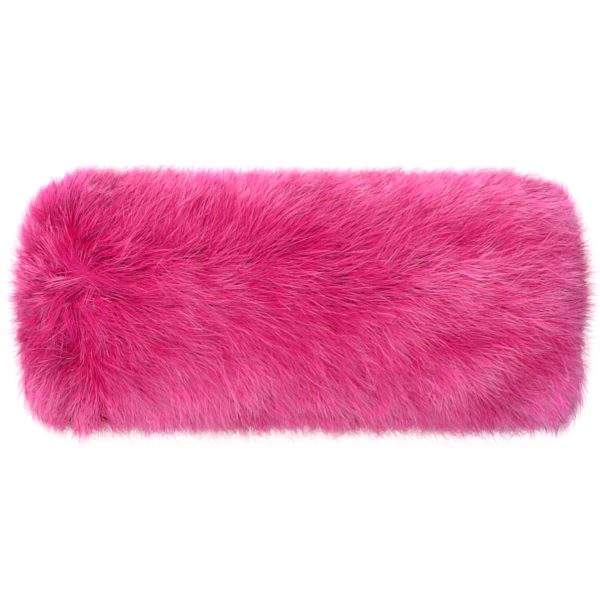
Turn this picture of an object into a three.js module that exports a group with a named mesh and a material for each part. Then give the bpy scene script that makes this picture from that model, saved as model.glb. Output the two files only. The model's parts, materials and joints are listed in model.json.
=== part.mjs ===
// Faux fur headwrap, lying flat. It is a closed band of long-pile faux fur that is pulled over the head to
// warm the ears. The ring of cloth lies on its side, so it makes two layers, joined by a fold at each end,
// and the opening that the head goes into is the low space between them, open along both long edges.
//
// Two pieces:
//   backing_band  the knitted backing cloth, one thin wall that goes all the way round
//   fur_pile      the deep fur as a solid of its outer form: it stands on the cloth's outer face, wraps
//                 over both of its edges, is pressed flat where it lies on the table, and has a parting
//                 across the upper layer near the left fold, where the strip's two ends are sewn together
//
// Millimetres. X runs from fold to fold, Y across the band from edge to edge, Z up from the table.

import * as THREE from "three";

// The cloth.
const CLOTH_THICKNESS = 2;
const CLOTH_REACH = 126; // from the middle to the outside of each fold
const CLOTH_HALF_HEIGHT = 51; // from the middle to each long edge
const FOLD_RADIUS = 7; // of the cloth's middle surface where it turns over
const LAYER_GAP = 7; // clear height between the two layers at the middle
const REST_HEIGHT = 11; // of the lower layer's middle surface above the table

// The pile.
const PILE_REACH = 140; // from the middle to the tips beyond each fold
const PILE_HALF_HEIGHT = 64.5; // from the middle to the tips beyond each long edge
const PILE_DEPTH_UPPER = 18; // from the cloth's middle surface to the tips, on the upper layer
const PILE_DEPTH_FOLD = PILE_REACH - CLOTH_REACH + CLOTH_THICKNESS / 2;
const PILE_DEPTH_LOWER = 12.5; // before the table presses it flat
const ROUNDNESS_ON_LAYERS = 2.7; // exponent of the superellipse across the band: 2 is round, more is squarer
const ROUNDNESS_AT_FOLDS = 2;
const PILE_LIP = 4; // width of the rounding on the pile's inner rim
const SEAT_GAP = 0.4; // between the pile and the cloth that it stands on

// How far each corner of the ring is drawn in, and over what length, where the cloth turns over the fold.
const CORNERS = [
  { end: -1, edge: 1, drawIn: 14, length: 28 },
  { end: 1, edge: 1, drawIn: 9, length: 38 },
  { end: -1, edge: -1, drawIn: 9.5, length: 18 },
  { end: 1, edge: -1, drawIn: 6, length: 20 },
];

// The parting across the upper layer: a shallow valley that bends at one point. Above the bend it leans to
// the left as it goes up, and below the bend it runs almost straight across.
const PARTING = { x: -105, y: 9, leanAbove: -0.455, leanBelow: 0.05, halfWidth: 8, depth: 4 };

// How finely the ring is divided.
const LAYER_STEPS = 24; // along each layer, closest together next to the folds
const FOLD_STEPS = 12; // round each fold
const PILE_STEPS = 18; // across the band, over the pile
const FUR_COLOUR = 0xe0307f;
const CLOTH_COLOUR = 0xb81f63;

// How stations are spaced along a curve, from 0 to 1.
const even = (t) => t;
const closerAtEnds = (t) => (1 - Math.cos(Math.PI * t)) / 2;
const closerAtStart = (t) => 1 - Math.cos((Math.PI / 2) * t);
const closerAtFinish = (t) => Math.sin((Math.PI / 2) * t);

// The cloth's middle surface, seen along Y: points in order round the ring, each with its outward normal.
function ringStations() {
  const turn = CLOTH_REACH - CLOTH_THICKNESS / 2 - FOLD_RADIUS; // where each fold's arc is centred
  const top = REST_HEIGHT + 2 * FOLD_RADIUS;
  const sag = 2 * FOLD_RADIUS - LAYER_GAP - CLOTH_THICKNESS; // of the upper layer, at the middle
  const arcHeight = REST_HEIGHT + FOLD_RADIUS;
  const fold = (x, start) =>
    new THREE.EllipseCurve(x, arcHeight, FOLD_RADIUS, FOLD_RADIUS, start, start + Math.PI);
  const pieces = [
    { curve: level(-turn, turn, REST_HEIGHT), steps: LAYER_STEPS, spacing: closerAtEnds },
    { curve: fold(turn, -Math.PI / 2), steps: FOLD_STEPS, spacing: even },
    { curve: sagging(turn, top, 0, top - sag), steps: LAYER_STEPS / 2, spacing: closerAtStart },
    { curve: sagging(0, top - sag, -turn, top), steps: LAYER_STEPS / 2, spacing: closerAtFinish },
    { curve: fold(-turn, Math.PI / 2), steps: FOLD_STEPS, spacing: even },
  ];
  return pieces.flatMap(({ curve, steps, spacing }) =>
    Array.from({ length: steps }, (_, i) => {
      const at = curve.getPoint(spacing(i / steps));
      const along = curve.getTangent(spacing(i / steps));
      return { x: at.x, z: at.y, normal: new THREE.Vector2(along.y, -along.x) };
    }),
  );
}

// The lower layer: straight, because it lies on the table.
function level(x0, x1, z) {
  return new THREE.LineCurve(new THREE.Vector2(x0, z), new THREE.Vector2(x1, z));
}

// Half of the upper layer: level at both ends, lower at one of them.
function sagging(x0, z0, x1, z1) {
  const middle = (x0 + x1) / 2;
  return new THREE.CubicBezierCurve(
    new THREE.Vector2(x0, z0),
    new THREE.Vector2(middle, z0),
    new THREE.Vector2(middle, z1),
    new THREE.Vector2(x1, z1),
  );
}

// How far the edge on one side (+1 or -1) is drawn in at this distance along the band.
function drawnIn(x, edge) {
  const corner = CORNERS.find((c) => c.edge === edge && c.end === (x < 0 ? -1 : 1));
  const along = Math.max(Math.abs(x) - CLOTH_REACH + corner.length, 0) / corner.length;
  return corner.drawIn * along ** 2;
}

// A closed ring: the section's outline, points of { y, n } with n along the normal, set at each station.
function ringGeometry(stations, outlineAt) {
  const positions = [];
  const index = [];
  stations.forEach((station) => {
    for (const { y, n } of outlineAt(station)) {
      positions.push(station.x + station.normal.x * n, y, Math.max(station.z + station.normal.y * n, 0));
    }
  });
  const count = positions.length / 3 / stations.length;
  for (let i = 0; i < stations.length; i++) {
    const next = (i + 1) % stations.length;
    for (let j = 0; j < count; j++) {
      const beside = (j + 1) % count;
      const [a, b] = [i * count + j, i * count + beside];
      const [c, d] = [next * count + j, next * count + beside];
      index.push(a, b, c, b, d, c);
    }
  }
  const geometry = new THREE.BufferGeometry();
  geometry.setAttribute("position", new THREE.Float32BufferAttribute(positions, 3));
  geometry.setIndex(index);
  geometry.computeVertexNormals();
  return geometry;
}

// The cloth's section: a plain strip.
function clothOutline({ x }) {
  const upper = CLOTH_HALF_HEIGHT - drawnIn(x, 1);
  const lower = -CLOTH_HALF_HEIGHT + drawnIn(x, -1);
  const half = CLOTH_THICKNESS / 2;
  return [
    { y: lower, n: half },
    { y: upper, n: half },
    { y: upper, n: -half },
    { y: lower, n: -half },
  ];
}

// How deep the pile is at the middle of the band: it is deepest on top and shortest where it is lain on.
function pileDepth({ normal }) {
  const flat = normal.y > 0 ? PILE_DEPTH_UPPER : PILE_DEPTH_LOWER;
  return THREE.MathUtils.lerp(PILE_DEPTH_FOLD, flat, normal.y ** 2);
}

// How much the parting lowers the pile at this place on the upper layer.
function partingDepth({ x, normal }, y) {
  const up = y - PARTING.y;
  const lean = up > 0 ? PARTING.leanAbove : PARTING.leanBelow;
  const across = (x - PARTING.x - lean * up) / PARTING.halfWidth;
  return PARTING.depth * Math.exp(-(across ** 2)) * Math.max(normal.y, 0);
}

// The pile's section: a rounded crown over the cloth, whose inner rim is level with the cloth's inner face.
function pileOutline(station) {
  const half = CLOTH_THICKNESS / 2;
  const [lowerIn, upperIn] = [drawnIn(station.x, -1), drawnIn(station.x, 1)];
  const tips = { lower: -PILE_HALF_HEIGHT + lowerIn, upper: PILE_HALF_HEIGHT - upperIn };
  const seat = {
    lower: -CLOTH_HALF_HEIGHT + lowerIn - SEAT_GAP,
    upper: CLOTH_HALF_HEIGHT - upperIn + SEAT_GAP,
  };
  const roundness = THREE.MathUtils.lerp(ROUNDNESS_AT_FOLDS, ROUNDNESS_ON_LAYERS, station.normal.y ** 2);
  const crown = Array.from({ length: PILE_STEPS + 1 }, (_, j) => {
    const angle = (Math.PI * j) / PILE_STEPS;
    const tip = j <= PILE_STEPS / 2 ? tips.lower : tips.upper;
    const y = tip * Math.abs(Math.cos(angle)) ** (2 / roundness);
    const rise = Math.sin(angle) ** (2 / roundness);
    return { y, n: (pileDepth(station) - partingDepth(station, y)) * rise };
  });
  return [
    ...crown,
    { y: tips.upper - PILE_LIP, n: -half },
    { y: seat.upper, n: -half },
    { y: seat.upper, n: half + SEAT_GAP },
    { y: seat.lower, n: half + SEAT_GAP },
    { y: seat.lower, n: -half },
    { y: tips.lower + PILE_LIP, n: -half },
  ];
}

function meshOf(name, geometry, color, roughness) {
  const mesh = new THREE.Mesh(geometry, new THREE.MeshStandardMaterial({ color, roughness, metalness: 0 }));
  mesh.name = name;
  return mesh;
}

const stations = ringStations();
const headwrap = new THREE.Group();
headwrap.add(meshOf("backing_band", ringGeometry(stations, clothOutline), CLOTH_COLOUR, 0.95));
headwrap.add(meshOf("fur_pile", ringGeometry(stations, pileOutline), FUR_COLOUR, 0.8));

export default headwrap;
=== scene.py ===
"""Faux fur headwrap lying flat: its coat of long pile and its knitted backing cloth.

The headwrap is a closed band of faux fur. It lies on its side, so it makes two layers that are joined by a
fold at each end, with the space for the head between them. The pile is modelled as a furrier handles it: the
coat is a strip laid out flat, on which every hair has a root, a direction and a length, and the strip is then
carried on to the folded ring.

Everything is in metres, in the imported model's frame: X from fold to fold, Y across the band, Z up. Places on
the upper layer are in millimetres, as a furrier would mark them.
"""

import json
import logging
import math
from dataclasses import dataclass, field
from enum import Enum
from typing import Any

import bpy
import numpy as np
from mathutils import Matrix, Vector

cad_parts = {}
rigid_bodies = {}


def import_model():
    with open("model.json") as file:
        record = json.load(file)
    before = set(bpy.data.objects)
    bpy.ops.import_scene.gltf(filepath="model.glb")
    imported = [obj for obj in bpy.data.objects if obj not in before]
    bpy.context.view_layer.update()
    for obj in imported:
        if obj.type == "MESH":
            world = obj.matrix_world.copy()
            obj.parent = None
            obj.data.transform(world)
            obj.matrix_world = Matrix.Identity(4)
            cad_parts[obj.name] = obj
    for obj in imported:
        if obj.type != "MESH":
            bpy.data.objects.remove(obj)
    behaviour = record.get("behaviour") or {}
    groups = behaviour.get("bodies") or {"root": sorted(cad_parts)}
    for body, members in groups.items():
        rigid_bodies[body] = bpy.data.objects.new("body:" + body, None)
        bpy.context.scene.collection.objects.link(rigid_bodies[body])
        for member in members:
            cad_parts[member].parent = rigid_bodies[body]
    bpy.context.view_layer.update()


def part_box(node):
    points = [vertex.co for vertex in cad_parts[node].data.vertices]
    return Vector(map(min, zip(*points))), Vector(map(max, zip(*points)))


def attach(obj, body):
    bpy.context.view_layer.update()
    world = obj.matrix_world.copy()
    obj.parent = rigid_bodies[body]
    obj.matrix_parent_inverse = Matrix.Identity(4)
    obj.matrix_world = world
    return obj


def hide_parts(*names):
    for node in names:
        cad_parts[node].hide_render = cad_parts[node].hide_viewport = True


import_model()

LOG = logging.getLogger("headwrap")
MM = 0.001
CLOTH_MAP = "UVMap"
HAIR_MAP = "OFBake"  # a hair runs along one half of it, or along the other where painted shade darkens it, as high as its shade
MAP_HALF = 0.5
MAP_MARGIN = 0.01  # kept free at both ends of each half
MAP_WIDTH = 0.008  # of a hair, to each side
SHADE_OF_TONE = 0.85
SHADES = (0.02, 0.98)  # the darkest and the palest
GIRTHS = (0.7, 1.3)  # how thick hairs are, as shares of their sort's width
HAIR_NOTES = (
    "root", "swing", "curve", "pull", "foot", "depth", "lean", "rise", "stiff", "girth", "shade", "dull",
    "along", "around", "skin", "form", "comb", "share", "tone", "dusk", "unruly", "outward", "spiky", "fold",
    "wispy", "everywhere",
)
AHEAD = 0.15  # the share of a hair's way over which its lean is measured
WAVE_TURN = 20  # how far the wave texture turns in a metre at a scale of 1, in radians
ALMOST_NOTHING = 1e-9  # keeps a direction of no length from being divided by nothing

Colour = tuple[float, float, float]
Stops = tuple[tuple[float, Colour], ...]
Range = tuple[float, float]


def smooth_step(low: float, high: float, at: np.ndarray | float) -> np.ndarray:
    """A smooth rise from 0 at low to 1 at high.

    Args:
        low: Where the rise starts.
        high: Where it ends.
        at: The places to read it at.

    Returns:
        The value at each place, from 0 to 1.
    """
    t = np.clip((np.asarray(at, float) - low) / (high - low), 0, 1)
    return t * t * (3 - 2 * t)


def shown(mesh: bpy.types.Mesh, material: bpy.types.Material | None = None) -> bpy.types.Object:
    """Puts a finished mesh in the scene.

    Args:
        mesh: The mesh, whose name the object takes.
        material: Its material, unless the mesh has it already.

    Returns:
        The object.
    """
    if material is not None:
        mesh.materials.append(material)
    made = bpy.data.objects.new(mesh.name, mesh)
    bpy.context.scene.collection.objects.link(made)
    return made


def hold(mesh: bpy.types.Mesh, name: str, values: Any) -> None:
    """Gives each point of a mesh a number or a vector.

    Args:
        mesh: The mesh.
        name: The name of what its points hold.
        values: One or three numbers for each point, in order.
    """
    rows = np.asarray(values, np.float32).reshape(len(mesh.vertices), -1)
    kind, slot = ("FLOAT_VECTOR", "vector") if rows.shape[1] == 3 else ("FLOAT", "value")
    mesh.attributes.new(name, kind, "POINT").data.foreach_set(slot, rows.ravel())


# ------------------------------------------------------------------ the ring


@dataclass(frozen=True)
class Corner:
    """How far one corner of the ring is drawn in where the cloth turns over the fold."""

    end: int
    edge: int
    draw_in: float
    length: float


CORNERS = (
    Corner(end=-1, edge=1, draw_in=14 * MM, length=28 * MM),
    Corner(end=1, edge=1, draw_in=9 * MM, length=38 * MM),
    Corner(end=-1, edge=-1, draw_in=9.5 * MM, length=18 * MM),
    Corner(end=1, edge=-1, draw_in=6 * MM, length=20 * MM),
)


@dataclass
class Stations:
    """Places round the ring on the cloth's middle surface, each with its outward normal, seen along Y."""

    x: np.ndarray
    z: np.ndarray
    nx: np.ndarray
    nz: np.ndarray


@dataclass
class Ring:
    """The ring of cloth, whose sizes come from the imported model."""

    thickness: float = 2 * MM
    gap: float = 7 * MM  # clear height between the two layers at the middle
    reach: float = field(init=False)
    half_height: float = field(init=False)
    low: float = field(init=False)
    radius: float = field(init=False)

    def __post_init__(self) -> None:
        """Reads the sizes of the cloth off its box."""
        (_, _, bottom), (self.reach, self.half_height, top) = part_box("backing_band")
        self.radius = (top - bottom - self.thickness) / 2
        self.low = bottom + self.thickness / 2

    @property
    def turn(self) -> float:
        """How far from the middle each fold's arc is centred."""
        return self.reach - self.thickness / 2 - self.radius

    @property
    def top(self) -> float:
        """How high the cloth's middle surface is on the upper layer, next to the folds."""
        return self.low + 2 * self.radius

    def level(self, start: float, end: float, steps: int) -> Stations:
        """The lower layer, or a part of it, which is straight.

        Args:
            start: Where it starts along X.
            end: Where it ends.
            steps: How many places there are, without the last.

        Returns:
            The places.
        """
        x = np.linspace(start, end, steps, endpoint=False)
        one = np.ones(steps)
        return Stations(x, self.low * one, 0 * one, -one)

    def fold(self, end: int, steps: int) -> Stations:
        """One fold, from the layer that the ring comes from to the other.

        Args:
            end: 1 for the right fold and -1 for the left one.
            steps: How many places there are, without the last.

        Returns:
            The places.
        """
        a = np.linspace(-math.pi / 2, math.pi / 2, steps, endpoint=False) + (math.pi if end < 0 else 0)
        nx, nz = np.cos(a), np.sin(a)
        return Stations(end * self.turn + self.radius * nx, self.low + self.radius * (1 + nz), nx, nz)

    def upper(self, steps: int) -> Stations:
        """The upper layer from right to left, which sags to the gap at the middle.

        Args:
            steps: How many places there are, without the last.

        Returns:
            The places.
        """
        x = np.linspace(self.turn, -self.turn, steps, endpoint=False)
        sag = 2 * self.radius - self.gap - self.thickness
        near = 1 - np.abs(x) / self.turn
        z = self.top - sag * smooth_step(0, 1, near)
        slope = 6 * near * (1 - near) * sag / self.turn * np.sign(x)
        length = np.hypot(1, slope)
        return Stations(x, z, -slope / length, 1 / length)

    def stations(self, start: float, layer_steps: int, fold_steps: int) -> Stations:
        """Places all the way round, from a place on the lower layer back to it.

        Args:
            start: Where on the lower layer the round starts, as a distance along X.
            layer_steps: How many places there are along each layer.
            fold_steps: How many there are round each fold.

        Returns:
            The places, the last of them the same as the first.
        """
        share = (self.turn - start) / (2 * self.turn)
        first = max(2, round(layer_steps * share))
        parts = [
            self.level(start, self.turn, first),
            self.fold(1, fold_steps),
            self.upper(layer_steps),
            self.fold(-1, fold_steps),
            self.level(-self.turn, start, max(2, layer_steps - first)),
            self.level(start, self.turn, 1),
        ]
        rows = [np.concatenate([getattr(p, name) for p in parts]) for name in ("x", "z", "nx", "nz")]
        return Stations(*rows)

    def drawn_in(self, x: np.ndarray, edge: int) -> np.ndarray:
        """How far the edge on one side is drawn in.

        Args:
            x: Distances along the band.
            edge: 1 for the upper edge and -1 for the lower one.

        Returns:
            How far at each distance.
        """
        total = np.zeros_like(x)
        for corner in CORNERS:
            if corner.edge == edge:
                along = np.clip((corner.end * x - self.reach) / corner.length + 1, 0, None)
                total += corner.draw_in * along**2
        return total


# ------------------------------------------------------------------ how the coat is marked


@dataclass(frozen=True)
class Rise:
    """A smooth rise from nothing at one place to its full size at another."""

    low: float
    high: float
    full: float = 1.0

    def at(self, place: np.ndarray | float) -> np.ndarray:
        """How high it is at each place."""
        return self.full * smooth_step(self.low, self.high, place)


@dataclass(frozen=True)
class Mark:
    """An oval place on the upper layer, in millimetres, where the coat differs from what is round it."""

    x: float
    y: float
    wide: float
    high: float

    def weight(self, x: np.ndarray, y: np.ndarray) -> np.ndarray:
        """How strongly the mark counts at places in millimetres: 1 at its middle, and less away from it."""
        away = ((x - self.x) / self.wide) ** 2 + ((y - self.y) / self.high) ** 2
        return np.exp(-away)


@dataclass(frozen=True)
class Parting:
    """The line across the upper layer, near the left fold, that the pile is combed away from."""

    x: float = -105 * MM
    y: float = 9 * MM  # where on the line the pile also parts upwards and downwards
    lean_above: float = -0.455
    lean_below: float = 0.05
    half_width: float = 8 * MM
    depth: float = 4 * MM
    reach: float = 15 * MM  # how far to its right the pile still turns round its middle
    pivot: float = 0.001 * MM  # how small the middle is that the pile turns round
    narrow: float = 0.25  # how much the distance from its middle counts along the line, against across it
    swirl: float = 62  # how far the pile turns to its left below the middle, in degrees
    swirl_left: Rise = Rise(8 * MM, -6 * MM)
    swirl_below: Rise = Rise(0, -20 * MM)
    swirl_reach: float = 14 * MM
    tangle: Mark = Mark(0, -5, 8, 38)  # where the hairs cross each other beside it, from its middle
    tangled: float = 0.6
    knot: Mark = Mark(0, 0, 9, 9)
    knotted: float = 1.2
    shadow: float = 0.4  # how much darker the line is
    shadow_width: float = 5  # in millimetres, as its ends
    shadow_ends: tuple[Rise, Rise] = (Rise(8, 16), Rise(50, 40))

    def beside(self, x: np.ndarray, y: np.ndarray) -> np.ndarray:
        """How far to the right of the line each place is."""
        up = y - self.y
        return x - self.x - np.where(up > 0, self.lean_above, self.lean_below) * up


@dataclass(frozen=True)
class Combing:
    """How the upper layer is combed: to the right, and away from its middle, in millimetres and degrees."""

    places: tuple[float, ...] = (-95, -70, -48, -28, -5, 12, 30, 60, 85, 105, 125)
    middle: tuple[float, ...] = (13, 14, 15, 9, 18, 20, 16, 12, 15, 10, 2)
    above: tuple[float, ...] = (50, 58, 80, 72, 38, 32, 43, 45, 28, 18, 14)
    below: tuple[float, ...] = (1.2, 1.2, 1.15, 1.15, 1.2, 1.2, 1.2, 1.15, 0.8, 0.65, 0.9)  # for each mm
    steepest: float = 70
    rise: float = 11  # how far above the middle the angle has settled

    def direction(self, x: np.ndarray, y: np.ndarray) -> np.ndarray:
        """The way the pile lies at each place.

        Args:
            x: Distances along the band.
            y: Distances across it.

        Returns:
            The direction along X and Y, as the last axis.
        """
        at = x / MM
        off = y / MM - np.interp(at, self.places, self.middle)
        up = np.interp(at, self.places, self.above) * (1 - np.exp(-np.clip(off, 0, None) / self.rise))
        slope = np.interp(at, self.places, self.below) * np.clip(-off, 0, None)
        down = self.steepest * np.tanh(slope / self.steepest)
        angle = np.radians(up - down)
        return np.stack([np.cos(angle), np.sin(angle)], -1)


@dataclass(frozen=True)
class Patch(Mark):
    """A place where the pile is paler, or darker, than round it: partly its own uneven tone, partly painted
    light and shade where the pile rises and sinks.
    """

    paler: float


@dataclass(frozen=True)
class Turn(Mark):
    """A place where the pile lies turned from the way it is combed."""

    left: float  # in degrees


@dataclass(frozen=True)
class Bulge(Mark):
    """A place where the pile's outer form stands further out, or less far where it is below 0."""

    out: float


@dataclass(frozen=True)
class Gap:
    """A round place where the hairs stand apart and show the depth of the pile, in millimetres."""

    x: float
    y: float
    size: float
    thinner: float  # the share of the hairs that is left out, or added where it is below 0

    def left(self, x: np.ndarray, y: np.ndarray) -> np.ndarray:
        """The share of the hairs that is left at places in millimetres."""
        away = ((x - self.x) ** 2 + (y - self.y) ** 2) / self.size**2
        return 1 - self.thinner * np.exp(-away)


@dataclass(frozen=True)
class Tuft:
    """A tuft on the upper layer that lies its own way over the others, in millimetres."""

    start: tuple[float, float]
    tip: tuple[float, float]
    curl: float  # how far it turns to its left on its way, as a share of its length
    wide: float
    hairs: int
    paler: float
    lift: float = 0.0  # how far its tips stand out over the others, as a share of the pile's depth


BULGES = (  # x, y, wide, high, out
    Bulge(-138, 22, 14, 26, 1.6),
    Bulge(-138, 0, 14, 70, -0.3),
    Bulge(140, -19, 12, 12, -2.2),
    Bulge(140, 18, 12, 8, -1.5),
    Bulge(-140, -3, 14, 11, -1),
    Bulge(-138, 40, 10, 12, 1.5),
    Bulge(-118, 62, 9, 12, 2.2),
    Bulge(-137, -47, 10, 11, 4.5),
    Bulge(-114, -64, 12, 12, 1.8),
    Bulge(0, -64, 150, 10, 0.3),
    Bulge(140, -46, 14, 15, 10),
    Bulge(138, 22, 14, 24, 1.2),
    Bulge(-20, 64, 80, 12, -0.4),
    Bulge(78, 64, 60, 12, -1.2),
)
PATCHES = (  # x, y, wide, high, paler
    Patch(-104, 26, 18, 14, -0.15),
    Patch(-120, -12, 12, 12, -0.65),
    Patch(-138, 32, 12, 14, 0.75),
    Patch(-138, 18, 10, 12, 0.3),
    Patch(-122, 6, 12, 5, 0.3),
    Patch(-120, -58, 10, 8, 0.8),
    Patch(-134, -45, 14, 12, 0.75),
    Patch(-120, -36, 9, 8, 0.25),
    Patch(-139, 2, 8, 45, 0.45),
    Patch(-62, 29, 28, 12, -0.2),
    Patch(-88, -10, 13, 30, -0.48),
    Patch(-97, 12, 14, 9, -0.2),
    Patch(-26, 15, 14, 9, -0.3),
    Patch(-10, 25, 12, 9, -0.2),
    Patch(-40, 31, 14, 11, -0.48),
    Patch(3, 9, 30, 16, -0.55),
    Patch(5, 4, 11, 10, -0.55),
    Patch(-12, 20, 10, 8, -0.25),
    Patch(-3, 22, 18, 12, -0.1),
    Patch(-30, -12, 34, 14, -0.16),
    Patch(43, 25, 16, 8, -0.1),
    Patch(64, 15, 18, 8, 0.35),
    Patch(64, 30, 26, 7, -0.36),
    Patch(100, 26, 14, 7, -0.1),
    Patch(69, -16, 22, 9, -0.32),
    Patch(71, -37, 11, 8, 0.3),
    Patch(79, -28, 13, 10, 0.4),
    Patch(100, -29, 12, 12, -0.35),
    Patch(106, 0, 14, 8, 0.2),
    Patch(48, 12, 14, 8, 0.2),
    Patch(-26, -58, 12, 9, -0.3),
    Patch(85, -45, 14, 9, -0.4),
    Patch(113, -19, 11, 9, -0.35),
    Patch(-32, -35, 16, 9, 0.16),
    Patch(0, -43, 100, 8, 0.1),
    Patch(-72, -46, 38, 11, 0.34),
    Patch(-42, -62, 110, 7, 0.2),
    Patch(129, -52, 14, 10, 0.15),
    Patch(114, -48, 12, 9, 0.55),
    Patch(131, 44, 12, 18, 0.42),
    Patch(133, -27, 10, 16, 0.65),
    Patch(60, 64, 90, 14, 0.65),
    Patch(115, 54, 12, 9, 0.2),
    Patch(2, 50, 17, 10, -0.36),
    Patch(37, 47, 12, 10, -0.1),
    Patch(-89, 49, 13, 9, -0.3),
    Patch(-62, 56, 10, 10, -0.15),
    Patch(-41, 61, 10, 8, 0.35),
    Patch(37, 62, 10, 8, 0.25),
    Patch(131, 15, 9, 12, -0.25),
    Patch(-120, 51, 12, 9, 0.25),
    Patch(115, -35, 10, 9, 0.2),
    Patch(100, -52, 10, 8, 0.35),
    Patch(-26, 47, 10, 8, 0.3),
    Patch(-57, 47, 10, 8, 0.3),
    Patch(-119, 26, 11, 12, -0.42),
)
TURNS = (  # x, y, wide, high, left
    Turn(-114, 33, 9, 14, 34),
    Turn(-109, 22, 5, 6, 34),
    Turn(-98, 36, 9, 7, -20),
    Turn(-96, 13, 6, 7, 22),
    Turn(-93, 23, 7, 7, 24),
    Turn(-107, -21, 6, 6, -34),
    Turn(-90, -22, 7, 7, 18),
    Turn(-83, 20, 8, 12, -16),
    Turn(-118, 9.5, 13, 4.5, -58),
    Turn(-133, 10, 6, 7, -48),
    Turn(-106, 9, 6, 4, -34),
    Turn(-117, 0, 12, 4.5, 62),
    Turn(-131, -8, 7, 8, 38),
    Turn(-107, -7, 6, 8, 22),
    Turn(-115, -23, 13, 7, -46),
    Turn(-99, -33, 6, 8, -12),
    Turn(-99, -42, 7, 7, 12),
    Turn(-110, -45, 10, 8, 16),
    Turn(-119, -53, 9, 8, 10),
    Turn(-94, -56, 10, 7, -14),
    Turn(-83, 46, 9, 8, -12),
    Turn(-67, -40, 14, 9, 13),
    Turn(-75, -53, 12, 8, -16),
    Turn(-52, 35, 8, 8, 14),
    Turn(-54, 14, 12, 8, -18),
    Turn(-36, 46, 9, 9, -15),
    Turn(-47, 58, 12, 7, -20),
    Turn(-20, 18, 9, 9, 12),
    Turn(-15, -54, 22, 9, -14),
    Turn(-3, 24, 13, 16, -12),
    Turn(12, 35, 12, 11, -9),
    Turn(11, -37, 8, 7, 14),
    Turn(27, 18, 13, 12, 8),
    Turn(38, 46, 12, 7, 8),
    Turn(27, -9, 9, 8, -13),
    Turn(50, 14, 14, 8, -9),
    Turn(58, 3, 8, 6, 12),
    Turn(76, -15, 14, 9, 10),
    Turn(80, -38, 14, 7, 10),
    Turn(121, 52, 8, 8, -18),
    Turn(105, 2, 12, 9, 13),
    Turn(121, -5, 14, 10, -12),
    Turn(43, -52, 12, 9, 26),
    Turn(76, -52, 9, 8, -12),
    Turn(92, -52, 12, 8, -16),
    Turn(121, -49, 10, 10, 18),
)
GAPS = (  # x, y, size, thinner
    Gap(-120, -12, 8, 0.7),
    Gap(-120, 27, 8, 0.45),
    Gap(4, 7, 12, 0.65),
    Gap(-12, 20, 8, 0.4),
    Gap(-113, 5, 6, -0.7),
    Gap(-94, 56, 7, -0.6),
    Gap(-124, 4, 9, -0.8),
    Gap(-118, 43, 4, 0.8),
    Gap(-115.5, 37, 4, 0.9),
    Gap(-113, 30, 4, 0.85),
    Gap(-109, 23, 3.5, 0.7),
    Gap(-103.5, 11.5, 2.6, 0.8),
    Gap(-101, -6, 3, 0.9),
    Gap(-112.5, -17, 3.2, 0.9),
    Gap(-92, -14, 3.5, 0.8),
    Gap(-107, -30, 3.5, 0.7),
)
TUFTS = (
    Tuft(start=(-125, 38), tip=(-113, 21), curl=0.1, wide=3.6, hairs=60, paler=-0.07),
    Tuft(start=(-119, 30), tip=(-107, 15), curl=0.15, wide=3.4, hairs=70, paler=-0.12),
    Tuft(start=(-112, 22), tip=(-97, 8), curl=0.2, wide=3, hairs=110, paler=-0.07),
    Tuft(start=(-106, 15), tip=(-87, 6), curl=0.2, wide=2.8, hairs=100, paler=-0.07),
    Tuft(start=(-124, 7), tip=(-108, 10), curl=0.2, wide=3, hairs=50, paler=0.0),
    Tuft(start=(-114, 11), tip=(-100, 7), curl=-0.2, wide=2.6, hairs=40, paler=-0.12),
    Tuft(start=(-111, 5), tip=(-98, 12), curl=0.2, wide=2.4, hairs=40, paler=-0.07),
    Tuft(start=(-98, 11), tip=(-103, -2), curl=-0.15, wide=1.8, hairs=50, paler=0.03),
    Tuft(start=(-97, 6), tip=(-90, -11), curl=0.3, wide=3, hairs=50, paler=-0.12),
    Tuft(start=(-106, 2), tip=(-96, -15), curl=0.25, wide=3, hairs=60, paler=-0.12),
    Tuft(start=(-112, 2), tip=(-108, -18), curl=0.2, wide=3, hairs=50, paler=-0.12),
    Tuft(start=(-116, 1), tip=(-121, -16), curl=-0.15, wide=3, hairs=50, paler=-0.12),
    Tuft(start=(-107, 52), tip=(-98.5, 67), curl=-0.1, wide=1.8, hairs=60, paler=0.15, lift=0.2),
    Tuft(start=(-113, 51), tip=(-103, 66), curl=-0.1, wide=1.8, hairs=60, paler=0.15, lift=0.22),
    Tuft(start=(-124, 40), tip=(-137, 46), curl=0.1, wide=2, hairs=60, paler=0.2, lift=0.2),
    Tuft(start=(-123, 43), tip=(-131, 54), curl=0.1, wide=1.8, hairs=50, paler=0.25, lift=0.18),
    Tuft(start=(-112, 48), tip=(-113, 63), curl=0.1, wide=1.8, hairs=50, paler=0.25, lift=0.16),
    Tuft(start=(-119, 46), tip=(-124, 61), curl=0.1, wide=1.8, hairs=50, paler=0.25, lift=0.18),
    Tuft(start=(-128, 30), tip=(-141, 37), curl=0.1, wide=2, hairs=50, paler=0.25, lift=0.15),
    Tuft(start=(-106, 8), tip=(-118, -2), curl=0.1, wide=2.8, hairs=60, paler=-0.05),
    Tuft(start=(123, -48), tip=(139, -61), curl=-0.1, wide=2.5, hairs=90, paler=0.3, lift=0.15),
    Tuft(start=(126, -40), tip=(142, -50), curl=-0.1, wide=2.5, hairs=70, paler=0.25, lift=0.12),
    Tuft(start=(110, -50), tip=(127, -64), curl=-0.1, wide=2.5, hairs=80, paler=0.15, lift=0.1),
    Tuft(start=(-40, -50), tip=(-34, -68), curl=-0.1, wide=3, hairs=60, paler=0.2),
    Tuft(start=(36, -50), tip=(46, -67), curl=-0.1, wide=3, hairs=60, paler=0.2),
)


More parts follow.
